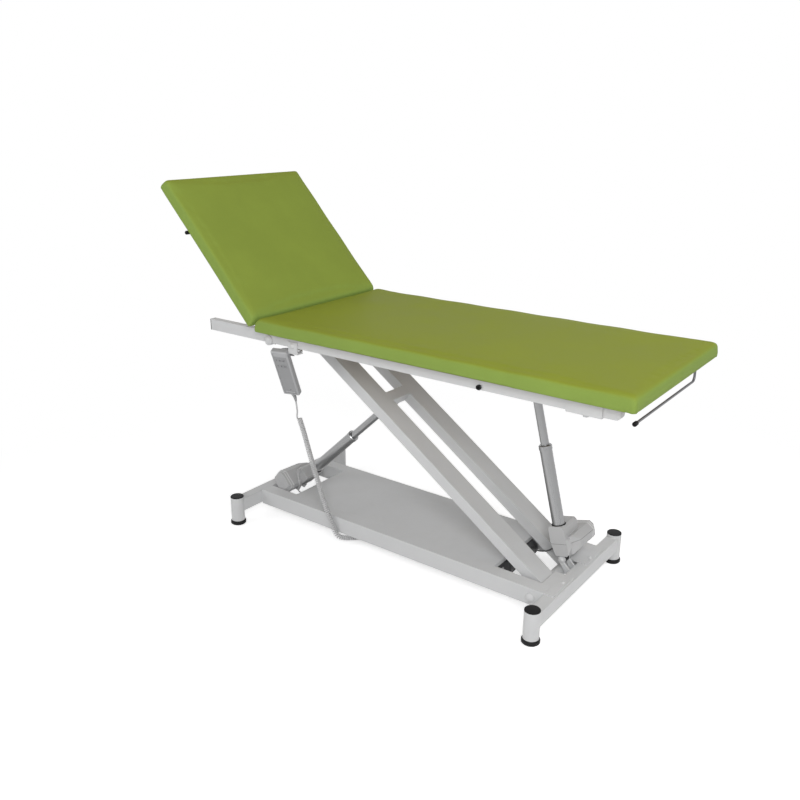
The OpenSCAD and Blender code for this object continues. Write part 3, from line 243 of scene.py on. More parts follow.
# Lines and tubes
def smooth_line(route, steps=8):
    """Cubic curve through the route, in equal steps of u from 0 to 1 between its points: from b to c, with a before
    and d after, it is half of 2b + (c - a)u + (2a - 5b + 4c - d)u^2 + (3b - a - 3c + d)u^3."""
    p = np.asarray(route, float)
    k = np.arange(len(p) - 1)
    a, b, c, d = (p[np.clip(k + j, 0, len(p) - 1)][:, None] for j in (-1, 0, 1, 2))
    u = np.linspace(0, 1, steps, endpoint=False)[None, :, None]
    q = 0.5 * (2 * b + (c - a) * u + (2 * a - 5 * b + 4 * c - d) * u ** 2 + (3 * b - a - 3 * c + d) * u ** 3)
    return np.vstack([q.reshape(-1, 3), p[-1]])


def headings(line):
    """Unit directions along a line, from each point's two neighbours."""
    t = np.vstack([line[1] - line[0], line[2:] - line[:-2], line[-1] - line[-2]])
    return t / np.linalg.norm(t, axis=1)[:, None]


def carried(t, start):
    """A cross direction carried along the headings t without twist: each one is the last, less its part along t."""
    out, f = np.empty_like(t), np.asarray(start, float)
    for i, heading in enumerate(t):
        f = f - (f @ heading) * heading
        f = f / np.linalg.norm(f)
        out[i] = f
    return out


def lengths(line):
    """Distance along a line to each of its points."""
    return np.concatenate([[0], np.cumsum(np.linalg.norm(np.diff(line, axis=0), axis=1))])


def sampled(at, s, rows):
    """Rows of an array, known at distances s, read off at other distances."""
    return np.stack([np.interp(at, s, rows[:, j]) for j in range(3)], -1)


def tube_rings(line, radius, sides, start=(0.3, 0.9, 0.1)):
    """Rings round a line: P(i, a) = line(i) + radius (cos a F + sin a T x F), with F carried along without twist."""
    t = headings(line)
    f = carried(t, start)
    a = np.linspace(0, 2 * np.pi, sides, endpoint=False)[None, :, None]
    r = np.broadcast_to(radius, len(line))[:, None, None]
    return line[:, None] + r * (np.cos(a) * f[:, None] + np.sin(a) * np.cross(t, f)[:, None])


def curled_line(route, turns, per_turn, radius, straight_top, straight_end):
    """A cord that runs straight, winds round a smooth line and runs straight again: P = centre(s) + w (cos a F +
    sin a T x F). In the curls s grows with q as 0.86q + 0.14q^2, so the pitch grows towards the stretched lower end.
    The offset w grows to the radius over the last LEAD_IN of the lead, and the angle's rate grows over half a turn."""
    axis = smooth_line(route, 12)
    s = lengths(axis)
    t = headings(axis)
    f = carried(t, (0, 1, 0))
    q = np.linspace(0, 1, turns * per_turn + 1)
    rate = np.clip(np.minimum(q, 1 - q) * turns / 0.5, 0.02, 1)
    wound = (np.cumsum(rate) - rate[0]) / (rate.sum() - rate[0])
    bottom = s[-1] - straight_end
    lead, end = np.linspace(0, straight_top, 40, endpoint=False), np.linspace(bottom, s[-1], 20)[1:]
    at = np.concatenate([lead, straight_top + (bottom - straight_top) * (0.86 * q + 0.14 * q ** 2), end])
    angle = FIRST_ANGLE + 2 * np.pi * turns * np.concatenate([0 * lead, wound, 0 * end + 1])
    grow = np.clip(np.minimum((at - straight_top) / LEAD_IN + 1, (bottom - at) / straight_end + 1), 0, 1)
    offset = (radius * grow * grow * (3 - 2 * grow))[:, None]
    centre, tt, ff = (sampled(at, s, rows) for rows in (axis, t, f))
    return centre + offset * (np.cos(angle)[:, None] * ff + np.sin(angle)[:, None] * np.cross(tt, ff))


# Pieces
def new_object(name, part, finish, smooth=True, sharp=38.0):
    """A mesh object from a surface, at the origin, with one finish."""
    points, quads, caps = part
    mesh = bpy.data.meshes.new(name)
    mesh.from_pydata(points.tolist(), [], quads.tolist() + [c.tolist() for c in caps])
    mesh.materials.append(bpy.data.materials[finish])
    if smooth:
        mesh.shade_smooth()
        mesh.set_sharp_from_angle(angle=math.radians(sharp))
    obj = bpy.data.objects.new(name, mesh)
    bpy.context.scene.collection.objects.link(obj)
    return obj


def new_piece(name, part, finish, body, slot, replaces=(), sharp=38.0):
    """A finished piece with the finish that it is given, riding on a body; its slot is not used."""
    obj = new_object(name, part, finish, sharp=sharp)
    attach(obj, body)
    if replaces:
        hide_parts(*replaces)
    return obj


def tube_object(name, rings, line, finish):
    """A cord's mesh tube with a UV map: u goes round it, v along it in metres."""
    obj = new_object(name, skin(rings), finish, sharp=80.0)
    mesh, (m, n) = obj.data, rings.shape[:2]
    s = lengths(line)
    i, k = np.meshgrid(np.arange(m - 1), np.arange(n), indexing="ij")
    u = np.stack([k, k + 1, k + 1, k], -1) / n
    v = np.stack([s[i], s[i], s[i + 1], s[i + 1]], -1)
    uv = np.stack([u, v], -1).reshape(-1, 4, 2)
    flat = np.zeros((len(mesh.loops), 2), np.float32)
    flat[: uv.size // 2] = uv.reshape(-1, 2)
    mesh.uv_layers.new(name="along").data.foreach_set("uv", flat.ravel())
    return obj


def rounded(obj, width):
    """Rounds a mesh's edges by a given width and keeps its flat faces flat."""
    modified(obj, "BEVEL", width=width, segments=3, limit_method="ANGLE", angle_limit=math.radians(12),
             harden_normals=True)
    obj.data.shade_smooth()
    apply_modifiers(obj)


# Shader groups
def node(tree, kind, inputs=None, **settings):
    """A shader node with its settings, each input a value or a socket to link from."""
    made = tree.nodes.new("ShaderNode" + kind)
    for key, value in settings.items():
        setattr(made, key, value)
    for key, value in (inputs or {}).items():
        if isinstance(value, bpy.types.NodeSocket):
            tree.links.new(value, made.inputs[key])
        else:
            made.inputs[key].default_value = value
    return made


def give(tree, sockets, **values):
    """Links values to sockets by their names."""
    for name, value in values.items():
        tree.links.new(value, sockets[name.replace("_", " ")])


def math_node(tree, operation, a, b=0.0, c=0.0, clamp=False):
    """The result of one Math node."""
    return node(tree, "Math", {0: a, 1: b, 2: c}, operation=operation, use_clamp=clamp).outputs[0]


def summed(tree, a, share, b, rest):
    """The sum of a times its share and b times the rest."""
    return math_node(tree, "ADD", math_node(tree, "MULTIPLY", a, share), math_node(tree, "MULTIPLY", b, rest))


def upward(tree):
    """How far a face looks up, from its normal."""
    return node(tree, "SeparateXYZ", {0: node(tree, "NewGeometry").outputs["Normal"]}).outputs[2]


def between(tree, value, low, high, to_low=0.0, to_high=1.0):
    """A value mapped smoothly from one range to another."""
    return node(tree, "MapRange", {"Value": value, "From Min": low, "From Max": high, "To Min": to_low,
                                   "To Max": to_high}, interpolation_type="SMOOTHSTEP").outputs[0]


def mixed(tree, factor, a, b):
    """Two colours mixed by a factor."""
    return node(tree, "Mix", {"Factor": factor, 6: a, 7: b}, data_type="RGBA").outputs[2]


def mapped(tree, vector, **change):
    """A vector turned or stretched."""
    return node(tree, "Mapping", {"Vector": vector, **change}).outputs[0]


def noise(tree, vector, scale, detail=3.0, roughness=0.55):
    """Noise of a given scale, features a metre."""
    return node(tree, "TexNoise", {"Vector": vector, "Scale": scale, "Detail": detail,
                                   "Roughness": roughness}).outputs["Fac"]


def new_group(name, inputs, outputs):
    """An empty shader group with named sockets, and its input and output nodes."""
    tree = bpy.data.node_groups.new(name, "ShaderNodeTree")
    for label, kind, value in inputs:
        made = tree.interface.new_socket(name=label, in_out="INPUT", socket_type="NodeSocket" + kind)
        if value is not None:
            made.default_value = value
    for label, kind in outputs:
        tree.interface.new_socket(name=label, in_out="OUTPUT", socket_type="NodeSocket" + kind)
    return tree, tree.nodes.new("NodeGroupInput").outputs, tree.nodes.new("NodeGroupOutput").inputs


def grain_group(name, size):
    """A shader group that takes a vector and a size and gives a height and a variation."""
    return new_group(name, [("Vector", "Vector", None), ("Size", "Float", size)],
                     [("Height", "Float"), ("Variation", "Float")])


def make_groups():
    """The shared effects: fine grain, edges rubbed bare, settled dust, leather grain, drawn lines and plywood."""
    tree, given, out = grain_group("Fine grain", 900.0)
    fine = noise(tree, given["Vector"], given["Size"], 2.0)
    broad = noise(tree, given["Vector"], 7.0, 4.0)
    give(tree, out, Height=fine, Variation=summed(tree, fine, 0.35, broad, 0.65))

    tree, given, out = new_group("Worn edge", [("Radius", "Float", 0.001), ("Patchiness", "Float", 45.0)],
                                 [("Mask", "Float"), ("Normal", "Vector")])
    soft = node(tree, "Bevel", {"Radius": given["Radius"]}, samples=6).outputs[0]
    true = node(tree, "NewGeometry").outputs["Normal"]
    turn = node(tree, "VectorMath", {0: soft, 1: true}, operation="DOT_PRODUCT").outputs["Value"]
    bend = between(tree, turn, 0.985, 0.86)
    where = node(tree, "TexCoord").outputs["Object"]
    patch = between(tree, noise(tree, where, given["Patchiness"], 4.0), 0.5, 0.68)
    give(tree, out, Mask=math_node(tree, "MULTIPLY", bend, patch), Normal=soft)

    tree, given, out = new_group("Settled dust", [("Vector", "Vector", None), ("Amount", "Float", 0.2)],
                                 [("Mask", "Float")])
    lies = between(tree, upward(tree), 0.3, 0.95)
    patch = between(tree, noise(tree, given["Vector"], 16.0, 6.0, 0.65), 0.35, 0.75)
    lain = math_node(tree, "MULTIPLY", lies, patch)
    give(tree, out, Mask=math_node(tree, "MULTIPLY", lain, given["Amount"]))

    tree, given, out = grain_group("Leather grain", 620.0)
    waves = node(tree, "TexNoise", {"Vector": given["Vector"], "Scale": 260.0, "Detail": 1.0})
    bent = node(tree, "VectorMath", {0: waves.outputs["Color"], 1: (0.0012, 0.0012, 0.0012), 2: given["Vector"]},
                operation="MULTIPLY_ADD")
    cells = node(tree, "TexVoronoi", {"Vector": bent.outputs[0], "Scale": given["Size"]},
                 feature="DISTANCE_TO_EDGE").outputs["Distance"]
    pebble = between(tree, cells, 0.0, 0.32)
    creases = between(tree, noise(tree, given["Vector"], 90.0, 5.0, 0.6), 0.3, 0.7)
    patches = noise(tree, given["Vector"], 5.0, 5.0, 0.6)
    give(tree, out, Height=summed(tree, pebble, 0.75, creases, 0.25),
         Variation=summed(tree, pebble, 0.25, patches, 0.75))

    tree, given, out = grain_group("Drawn lines", 900.0)
    lines = noise(tree, given["Vector"], given["Size"], 3.0, 0.7)
    streaks = noise(tree, given["Vector"], 60.0, 3.0)
    give(tree, out, Height=lines, Variation=summed(tree, lines, 0.5, streaks, 0.5))

    tree, given, out = new_group("Plywood", [("Vector", "Vector", None), ("Pale", "Color", (0.6, 0.53, 0.42, 1)),
                                             ("Brown", "Color", (0.42, 0.34, 0.24, 1))],
                                 [("Color", "Color"), ("Height", "Float")])
    grain = noise(tree, mapped(tree, given["Vector"], Scale=(1.2, 16.0, 90.0)), 9.0, 8.0, 0.62)
    pores = noise(tree, mapped(tree, given["Vector"], Scale=(6.0, 160.0, 160.0)), 9.0, 2.0)
    tone = math_node(tree, "ADD", between(tree, grain, 0.38, 0.66), math_node(tree, "MULTIPLY", pores, 0.22))
    give(tree, out, Color=mixed(tree, tone, given["Pale"], given["Brown"]), Height=pores)


def use(tree, group, inputs):
    """A shader group placed in a material's tree."""
    return node(tree, "Group", inputs, node_tree=bpy.data.node_groups[group]).outputs


def rgba(colour, factor=1.0):
    """A colour as four numbers, its three made lighter or darker by a factor."""
    return (*[min(1.0, max(0.0, c * factor)) for c in colour[:3]], 1.0)


def bare_tree(owner):
    """The emptied node tree of a material or a world."""
    owner.use_nodes = True
    owner.node_tree.nodes.clear()
    return owner.node_tree


def new_finish(name, colour, sockets):
    """A material with one Principled shader, its plain values set on its own sockets."""
    made = bpy.data.materials.new(name)
    made.diffuse_color = rgba(colour)
    tree = bare_tree(made)
    shader = node(tree, "BsdfPrincipled", sockets)
    node(tree, "OutputMaterial", {"Surface": shader.outputs[0]})
    return tree, shader


def grained(name, colour, rough, size, depth, spread, wear, dust, edge=0.0012, worn=None, group="Fine grain",
            turn=None, stretch=None, coords="Object", **sockets):
    """A finish with its grain in colour, gloss and relief, lighter or barer edges, and a little dust on top."""
    tree, shader = new_finish(name, colour, {key.replace("_", " "): value for key, value in sockets.items()})
    source = node(tree, "TexCoord")
    where = source.outputs[coords]
    if turn is not None:
        where = mapped(tree, where, Rotation=turn)
    if stretch is not None:
        where = mapped(tree, where, Scale=stretch)
    grain = use(tree, group, {"Vector": where, "Size": size})
    tone = mixed(tree, between(tree, grain["Variation"], 0.3, 0.7), rgba(colour, 1 - spread),
                 rgba(colour, 1 + spread))
    fall = use(tree, "Settled dust", {"Vector": source.outputs["Object"], "Amount": dust})["Mask"]
    tone = mixed(tree, fall, tone, DUST)
    edges = use(tree, "Worn edge", {"Radius": edge})
    bare = math_node(tree, "MULTIPLY", edges["Mask"], wear)
    tone = mixed(tree, bare, tone, rgba(worn or colour, 1.0 if worn else 1.12))
    gloss = between(tree, grain["Variation"], 0.25, 0.75, rough - 0.06, rough + 0.06)
    gloss = math_node(tree, "ADD", gloss, math_node(tree, "MULTIPLY", fall, 0.35), clamp=True)
    bump = node(tree, "Bump", {"Height": grain["Height"], "Normal": edges["Normal"], "Distance": depth})
    give(tree, shader.inputs, Base_Color=tone, Roughness=gloss, Normal=bump.outputs[0])
    return tree, shader


DUST = (0.52, 0.5, 0.47, 1)
PAINTED_TOP_SHADE = (0.93, 0.765, 0.4, 1)  # painted shade: the vinyl's colour is multiplied by this where it faces up, so its top is darker and more olive than its sides
# Plain finishes: a colour setting or a colour, its factor, roughness, grain size, depth and spread, wear and dust
SCRAPED = {"worn": (0.04, 0.04, 0.04)}
CORD_GRAIN = {"edge": 0.0001, "coords": "UV", "stretch": (0.014, 1, 1)}
FINISHES = {
    "Powder coat": ("steel", 1, 0.42, 520, 3.5e-5, 0.025, 0.25, 0.1, {}),
    "White plastic": ("steel", 1, 0.38, 1300, 1.5e-5, 0.02, 0.35, 0.08, {}),
    "Black plastic": ("black", 1, 0.42, 1100, 3e-5, 0.2, 0.3, 0.006, {**SCRAPED, "Specular_IOR_Level": 0.1}),
    "Drum plastic": ((0.055, 0.055, 0.057), 1, 0.4, 1100, 3e-5, 0.1, 0.3, 0.03, {"Specular_IOR_Level": 0.3}),
    "Foot rubber": ((0.008, 0.008, 0.0085), 1, 0.6, 800, 5e-5, 0.25, 0.3, 0.03,
                    {**SCRAPED, "Specular_IOR_Level": 0.2}),
    "Zinc plated steel": ((0.56, 0.57, 0.58), 1, 0.36, 700, 1.2e-5, 0.08, 0.2, 0.06, {"Metallic": 1}),
    # Chrome's dark colour is a painted reflection: it stands for dark surroundings mirrored in it
    "Chrome": ((0.17, 0.17, 0.18), 1, 0.2, 240, 3e-6, 0.03, 0.1, 0.02, {"Metallic": 1}),
    "Black painted steel": ((0.02, 0.02, 0.021), 1, 0.24, 600, 8e-6, 0.15, 0.3, 0.06,
                            {"worn": (0.25, 0.25, 0.25), "Coat_Weight": 0.3}),
    "Grey moulded shell": ("shell", 1, 0.46, 1500, 3.5e-5, 0.03, 0.25, 0.08, {}),
    "Seam shadow": ("shell", 0.35, 0.6, 1500, 1e-5, 0.1, 0, 0, {}),
    "Pale moulded band": ("shell", 1.35, 0.4, 1500, 2e-5, 0.02, 0.35, 0.06, {}),
    "Handset grey": ("handset", 1, 0.44, 1700, 3e-5, 0.03, 0.35, 0.05, {}),
    "Handset rim": ("handset", 1.32, 0.4, 1700, 2e-5, 0.03, 0.2, 0.03, {}),
    "Handset panel": ("handset", 0.92, 0.4, 2000, 1e-5, 0.03, 0.35, 0.03, {}),
    "Handset keys": ("handset", 0.8, 0.5, 2200, 2e-5, 0.03, 0.35, 0, {}),
    "Key print": ((0.05, 0.055, 0.06), 1, 0.4, 2400, 2e-6, 0.1, 0, 0, {}),
    "Cord": ("cord", 1, 0.42, 1200, 1.2e-5, 0.04, 0, 0, CORD_GRAIN),
    "Dark cord": ((0.06, 0.06, 0.062), 1, 0.42, 1200, 1.2e-5, 0.08, 0, 0, CORD_GRAIN),
}


def make_finishes(colours):
    """Every finish of the table, under the names that the pieces use."""
    make_groups()
    for name, (colour, factor, rough, size, depth, spread, wear, dust, others) in FINISHES.items():
        plain = getattr(colours, colour) if isinstance(colour, str) else colour
        grained(name, rgba(plain, factor)[:3], rough, size, depth, spread, wear, dust, **others)
    for label, tilt in (("head", HEAD_TILT), ("foot", FOOT_TILT)):
        grained("Anodised tube, " + label, colours.tube, 0.3, 900, 8e-6, 0.05, 0.2, 0.05, group="Drawn lines",
                turn=(0, -math.radians(tilt), 0), stretch=(1, 1, 0.02), Metallic=1)
    tree, shader = grained("Green vinyl", colours.vinyl, 0.5, 620, 9e-5, 0.055, 0.12, 0, edge=0.004,
                           group="Leather grain", Specular_IOR_Level=0.03)
    # Painted shade: where the vinyl faces up it is made darker and more olive than on its sides, for how light and
    # sheen fall on them
    tone = shader.inputs["Base Color"].links[0].from_socket
    lain = math_node(tree, "POWER", math_node(tree, "MAXIMUM", upward(tree), 0.0), 1.6)
    painted_shade = mixed(tree, lain, (1, 1, 1, 1), PAINTED_TOP_SHADE)
    worn = node(tree, "VectorMath", {0: tone, 1: painted_shade}, operation="MULTIPLY").outputs[0]
    give(tree, shader.inputs, Base_Color=worn)
    tree, shader = new_finish("Plywood", (0.5, 0.43, 0.33), {"Roughness": 0.6})
    board = use(tree, "Plywood", {"Vector": node(tree, "TexCoord").outputs["Object"]})
    edges = use(tree, "Worn edge", {"Radius": 0.001})
    bump = node(tree, "Bump", {"Height": board["Height"], "Normal": edges["Normal"], "Distance": 4e-5})
    give(tree, shader.inputs, Base_Color=board["Color"], Normal=bump.outputs[0])


# Settings
def colour_setting(name, about, value):
    """A colour property, linear."""
    return bpy.props.FloatVectorProperty(name=name, description=about, subtype="COLOR", size=3, min=0, max=1,
                                         default=value)


def length_setting(name, about, value, low, high):
    """A length property in metres."""
    return bpy.props.FloatProperty(name=name, description=about, default=value, min=low, max=high, unit="LENGTH",
                                   precision=4)


def amount(name, about, value, high, low=0, **others):
    """A plain number's property."""
    return bpy.props.FloatProperty(name=name, description=about, default=value, min=low, max=high, **others)


class TableColours(bpy.types.PropertyGroup):
    """Colours of the table's materials."""
    vinyl: colour_setting("Vinyl", "Colour of both pads", (0.275, 0.385, 0.085))
    steel: colour_setting("Powder coat", "Colour of the painted steel", (0.66, 0.665, 0.67))
    shell: colour_setting("Motor shells", "Colour of the motors' plastic shells", (0.5, 0.5, 0.503))
    # The tubes' grey is darker than their own aluminium: painted reflection, standing for dark surroundings mirrored in
    # them
    tube: colour_setting("Actuator tubes", "Colour of the anodised tubes", (0.33, 0.332, 0.336))
    handset: colour_setting("Handset", "Colour of the handset's shell", (0.36, 0.362, 0.37))
    cord: colour_setting("Cord", "Colour of the curly cord and the leads", (0.6, 0.6, 0.605))
    black: colour_setting("Black plastic", "Colour of the caps, the drum and the bushes", (0.011, 0.011, 0.012))


class TableSizes(bpy.types.PropertyGroup):
    """Sizes that the soft and moulded pieces take."""
    cord_diameter: length_setting("Cord diameter", "Diameter of the handset's cord", 0.006, 0.003, 0.008)
    curl_diameter: length_setting("Curl diameter", "Outer diameter of the cord's curls", 0.0202, 0.014, 0.024)
    curls: bpy.props.IntProperty(name="Curls", description="Number of curls in the handset's cord", default=80, min=40,
                                 max=90)
    lead_diameter: length_setting("Lead diameter", "Diameter of the motors' leads", 0.005, 0.004, 0.007)
    vinyl_reach: length_setting("Vinyl reach", "How far the vinyl may swell past its cut shape", 0.0035, 0.002, 0.01)
    pad_voxel: length_setting("Pad voxel", "Size of the pads' mesh before it is divided", 0.006, 0.004, 0.012)


class TableStage(bpy.types.PropertyGroup):
    """The floor, the lights and the camera."""
    floor: colour_setting("Floor", "Colour of the floor", (0.8, 0.8, 0.8))
    sky: amount("Sky", "Strength of the light from all round", 0.29, 2)
    key: amount("Main lamp", "Power of the soft lamp beside the camera", 82.0, 2000, unit="POWER")
    lift: amount("Floor lift", "How much the camera's own view of the floor is lifted towards white", 0.62, 1)
    lens: amount("Lens", "Focal length on a 36 mm sensor", 37.28, 120, 15)


# The camera's yaw, pitch and roll in radians, as fitted to the photo, and the lamps: place, aim, share of the power
CAMERA_ANGLES = (-0.64098, -0.33419, 0.00451)
CAMERA_AT = (1.6008, -2.258, 1.5189)
LAMPS = (("Main lamp", (2.4, -3.0, 2.6), (0, 0, 0.45), 1.0),
         ("Left lamp", (-2.6, -3.4, 2.0), (0, 0, 0.45), 0.38),
         ("Foot lamp", (2.2, 0.3, 3.8), (-0.4, 0, 0.8), 0.52))
LAMP_SIZE = 2.2
FLOOR_SIDES = 64
FLOOR_GAP = 0.0005
FLOOR_FADE = (1.0, 2.1)  # distances between which the floor turns white


# Operators
def placed(obj, x, y, z, at):
    """Links an object to the scene, with its axes and its place."""
    matrix = np.eye(4)
    matrix[:3] = np.column_stack([x, y, z, at])
    bpy.context.scene.collection.objects.link(obj)
    obj.matrix_world = Matrix(matrix.tolist())


def seen_by_camera(tree):
    """1 on the camera's own rays and on those that reach it mirrored or through something, 0 on the light's."""
    rays = node(tree, "LightPath").outputs
    straight = math_node(tree, "MAXIMUM", rays["Is Camera Ray"], rays["Is Glossy Ray"])
    return math_node(tree, "MAXIMUM", straight, rays["Is Transmission Ray"])


class EXAM_OT_stage(bpy.types.Operator):
    """Makes the camera, the lamps, the sky and the floor"""
    bl_idname = "exam.stage"
    bl_label = "Stage"

    def execute(self, context):
        stage = context.scene.table_stage
        yaw, pitch, roll = CAMERA_ANGLES
        forward = np.array([math.sin(yaw) * math.cos(pitch), math.cos(yaw) * math.cos(pitch), math.sin(pitch)])
        right = np.array([math.cos(yaw), -math.sin(yaw), 0])
        up = np.cross(right, forward)
        right, up = math.cos(roll) * right + math.sin(roll) * up, -math.sin(roll) * right + math.cos(roll) * up
        data = bpy.data.cameras.new("Camera")
        data.sensor_width = 36
        data.lens = stage.lens
        data.clip_start, data.clip_end = 0.05, 100
        camera = bpy.data.objects.new("Camera", data)
        placed(camera, right, up, -forward, CAMERA_AT)
        context.scene.camera = camera
        context.scene.view_settings.view_transform = "Standard"

        for name, at, aim, share in LAMPS:
            lamp = bpy.data.lights.new(name, "AREA")
            lamp.shape, lamp.size, lamp.energy = "DISK", LAMP_SIZE, stage.key * share
            z = np.subtract(at, aim) / math.dist(at, aim)
            x = np.cross((0, 0, 1.0), z)
            x /= np.linalg.norm(x)
            placed(bpy.data.objects.new(name, lamp), x, np.cross(z, x), z, at)

        context.scene.world = bpy.data.worlds.new("Sky")
        tree = bare_tree(context.scene.world)
        strength = between(tree, seen_by_camera(tree), 0.0, 1.0, stage.sky, 1.0)
        back = node(tree, "Background", {"Color": (1, 1, 1, 1), "Strength": strength})
        node(tree, "OutputWorld", {"Surface": back.outputs[0]})

        self.floor(stage)
        return {"FINISHED"}

    def floor(self, stage):
        """A round floor just below the feet: P(r, a) = (r cos a, r sin a, -gap). It is pale, brighter where the
        camera sees it, and turns white further out."""
        r = np.array([0.02, 0.5, 1.0, 2.0, 4.0, 9.0, 30.0])[:, None]
        a = np.linspace(0, 2 * np.pi, FLOOR_SIDES, endpoint=False)[None]
        rings = np.stack([r * np.cos(a), r * np.sin(a), 0 * r * a - FLOOR_GAP], -1)
        points, quads, _ = skin(rings, ends=False)
        tree = bare_tree(bpy.data.materials.new("Pale floor"))
        seen = seen_by_camera(tree)
        base = node(tree, "BsdfDiffuse", {"Color": rgba(stage.floor)})
        glow = node(tree, "Emission", {"Color": (1, 1, 1, 1),
                                       "Strength": math_node(tree, "MULTIPLY", seen, stage.lift)})
        near = node(tree, "AddShader", {0: base.outputs[0], 1: glow.outputs[0]})
        white = node(tree, "Emission", {"Color": (1, 1, 1, 1), "Strength": 1.0})
        reach = node(tree, "VectorMath", {0: node(tree, "TexCoord").outputs["Object"]},
                     operation="LENGTH").outputs["Value"]
        far = math_node(tree, "MULTIPLY", seen, between(tree, reach, *FLOOR_FADE))
        both = node(tree, "MixShader", {0: far, 1: near.outputs[0], 2: white.outputs[0]})
        node(tree, "OutputMaterial", {"Surface": both.outputs[0]})
        new_object("Floor", (points, quads, [np.arange(FLOOR_SIDES)]), "Pale floor", smooth=False)


BOOT_SHARP = 70  # edges of the strain reliefs stay sharp from this angle
RIB_DEPTH = 0.0006


def boot(line, long, wide, narrow, ribs=7):
    """A ribbed strain relief swept along a cord's first stretch: its radius falls from wide to narrow with the distance
    along it, less a shallow groove for each rib."""
    at = np.linspace(0, long, ribs * 6 + 1)
    groove = RIB_DEPTH * np.clip(2.4 * np.cos(2 * np.pi * ribs * at / long) - 1.2, 0, 1)
    groove[0] = 0
    return skin(tube_rings(sampled(at, lengths(line), line), wide + (narrow - wide) * at / long - groove, 28))


def lay_cord(stands_for):
    """Hides the record's cord that a tube replaces."""
    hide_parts(stands_for)


class EXAM_OT_cords(bpy.types.Operator):
    """Makes the handset's curly cord with its tail, the two motors' leads and their strain reliefs"""
    bl_idname = "exam.cords"
    bl_label = "Cords"

    def execute(self, context):
        sizes = context.scene.table_sizes
        d = sizes.cord_diameter
        line = curled_line(CURLY_ROUTE, sizes.curls, CURL_STEPS, (sizes.curl_diameter - d) / 2, LEAD_LENGTH, END_LENGTH)
        rings = tube_rings(line, d / 2, CORD_SIDES)
        part, lead_end, above, below = (int(np.argmax(line[:, 2] < z)) for z in CURLY_HEIGHTS)
        for name, rows, bodies, start, end in (
                ("curly_cord_upper", slice(0, part + 1), ("lift_arms", "upper_frame"), line[above], line[lead_end]),
                ("curly_cord_lower", slice(part, None), ("base", "lift_arms"), CURLY_REST, line[below])):
            obj = tube_object(name, rings[rows], line[rows], "Cord")
            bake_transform(obj)
            lay_cord("handset_cord")
        for name, path, long, wide, narrow, finish, body, slot in (
                ("handset_boot", np.vstack([put(HANDSET_OUTLET, HANDSET), line]), 0.042, 0.0082, d / 2 + 0.0008,
                 "Handset grey", "upper_frame", "grey_plastic"),
                ("head_motor_boot", smooth_line(HEAD_LEAD_ROUTE), 0.018, 0.0062, 0.0034, "Grey moulded shell",
                 "head_actuator", "grey_plastic"),
                ("foot_motor_boot", smooth_line(FOOT_LEAD_ROUTE)[::-1], 0.016, 0.0058, 0.0034, "Black plastic",
                 "foot_actuator", "black_plastic")):
            new_piece(name, boot(path, long, wide, narrow), finish, body, slot, sharp=BOOT_SHARP)
        for name, route, size, finish, bodies, ends, replaced in (
                ("cord_tail_wire", TAIL_ROUTE, d, "Cord", None, None, "cord_tail"),
                ("head_motor_lead", HEAD_LEAD_ROUTE, sizes.lead_diameter, "Cord", ("head_actuator", "base"),
                 ((-0.521, -0.085, 0.166), (-0.462, -0.054, 0.082)), "head_motor_cable"),
                ("foot_motor_lead", FOOT_LEAD_ROUTE, sizes.lead_diameter, "Dark cord", ("base", "foot_actuator"),
                 ((0.45, 0.02, 0.104), (0.55, 0.034, 0.147)), "foot_motor_cable")):
            line = smooth_line(route)
            obj = tube_object(name, tube_rings(line, size / 2, LEAD_SIDES), line, finish)
            if bodies:
                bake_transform(obj)
            else:
                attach(obj, "base")
            lay_cord(replaced)
        return {"FINISHED"}


# The pads' side, as height above the board's underside and how far it is drawn in; their crown, as the share of the
# way to the middle and the rise above the side; and the nose at the hinge end
PAD_SIDE = np.array([[0, 1.2], [1.2, 0.3], [5, 0], [12, 0], [20, 0.2], [28, 0.9], [34, 2.2], [39, 4.4], [42.5, 7.6],
                     [44.8, 12], [45.9, 18.5]]) / 1000
PAD_CROWN = ((0.05, 0.0006), (0.12, 0.001), (0.25, 0.0014), (0.5, 0.0018), (0.9, 0.002))
NOSE_FOOT, NOSE_REACH = 0.01, 0.028
PAD_CORNER, CORNER_REACH = 0.007, 0.09
PAD_CUT = 0.0015  # the pads are cut smaller by this, then swell
WAIST, CREASE, WAVE = 0.0022, 0.0016, 0.0007  # how far the sides are drawn in, and how high folds and waves are
HELD = 0.016  # the cloth is held up to this height, about the board's top
FOLD = 0.014  # radius of the folded corners
CLOTH = {"use_pressure": True, "uniform_pressure_force": 4.0, "vertex_group_mass": "held", "quality": 4,
         "tension_stiffness": 12.0, "compression_stiffness": 12.0, "bending_stiffness": 2.0, "shrink_min": -0.012}
CLOTH_FRAMES = 20
BACK_LENGTH = 0.62
BACK_NEAR_END = -0.47797  # the back pad's hinge end when it lies flat


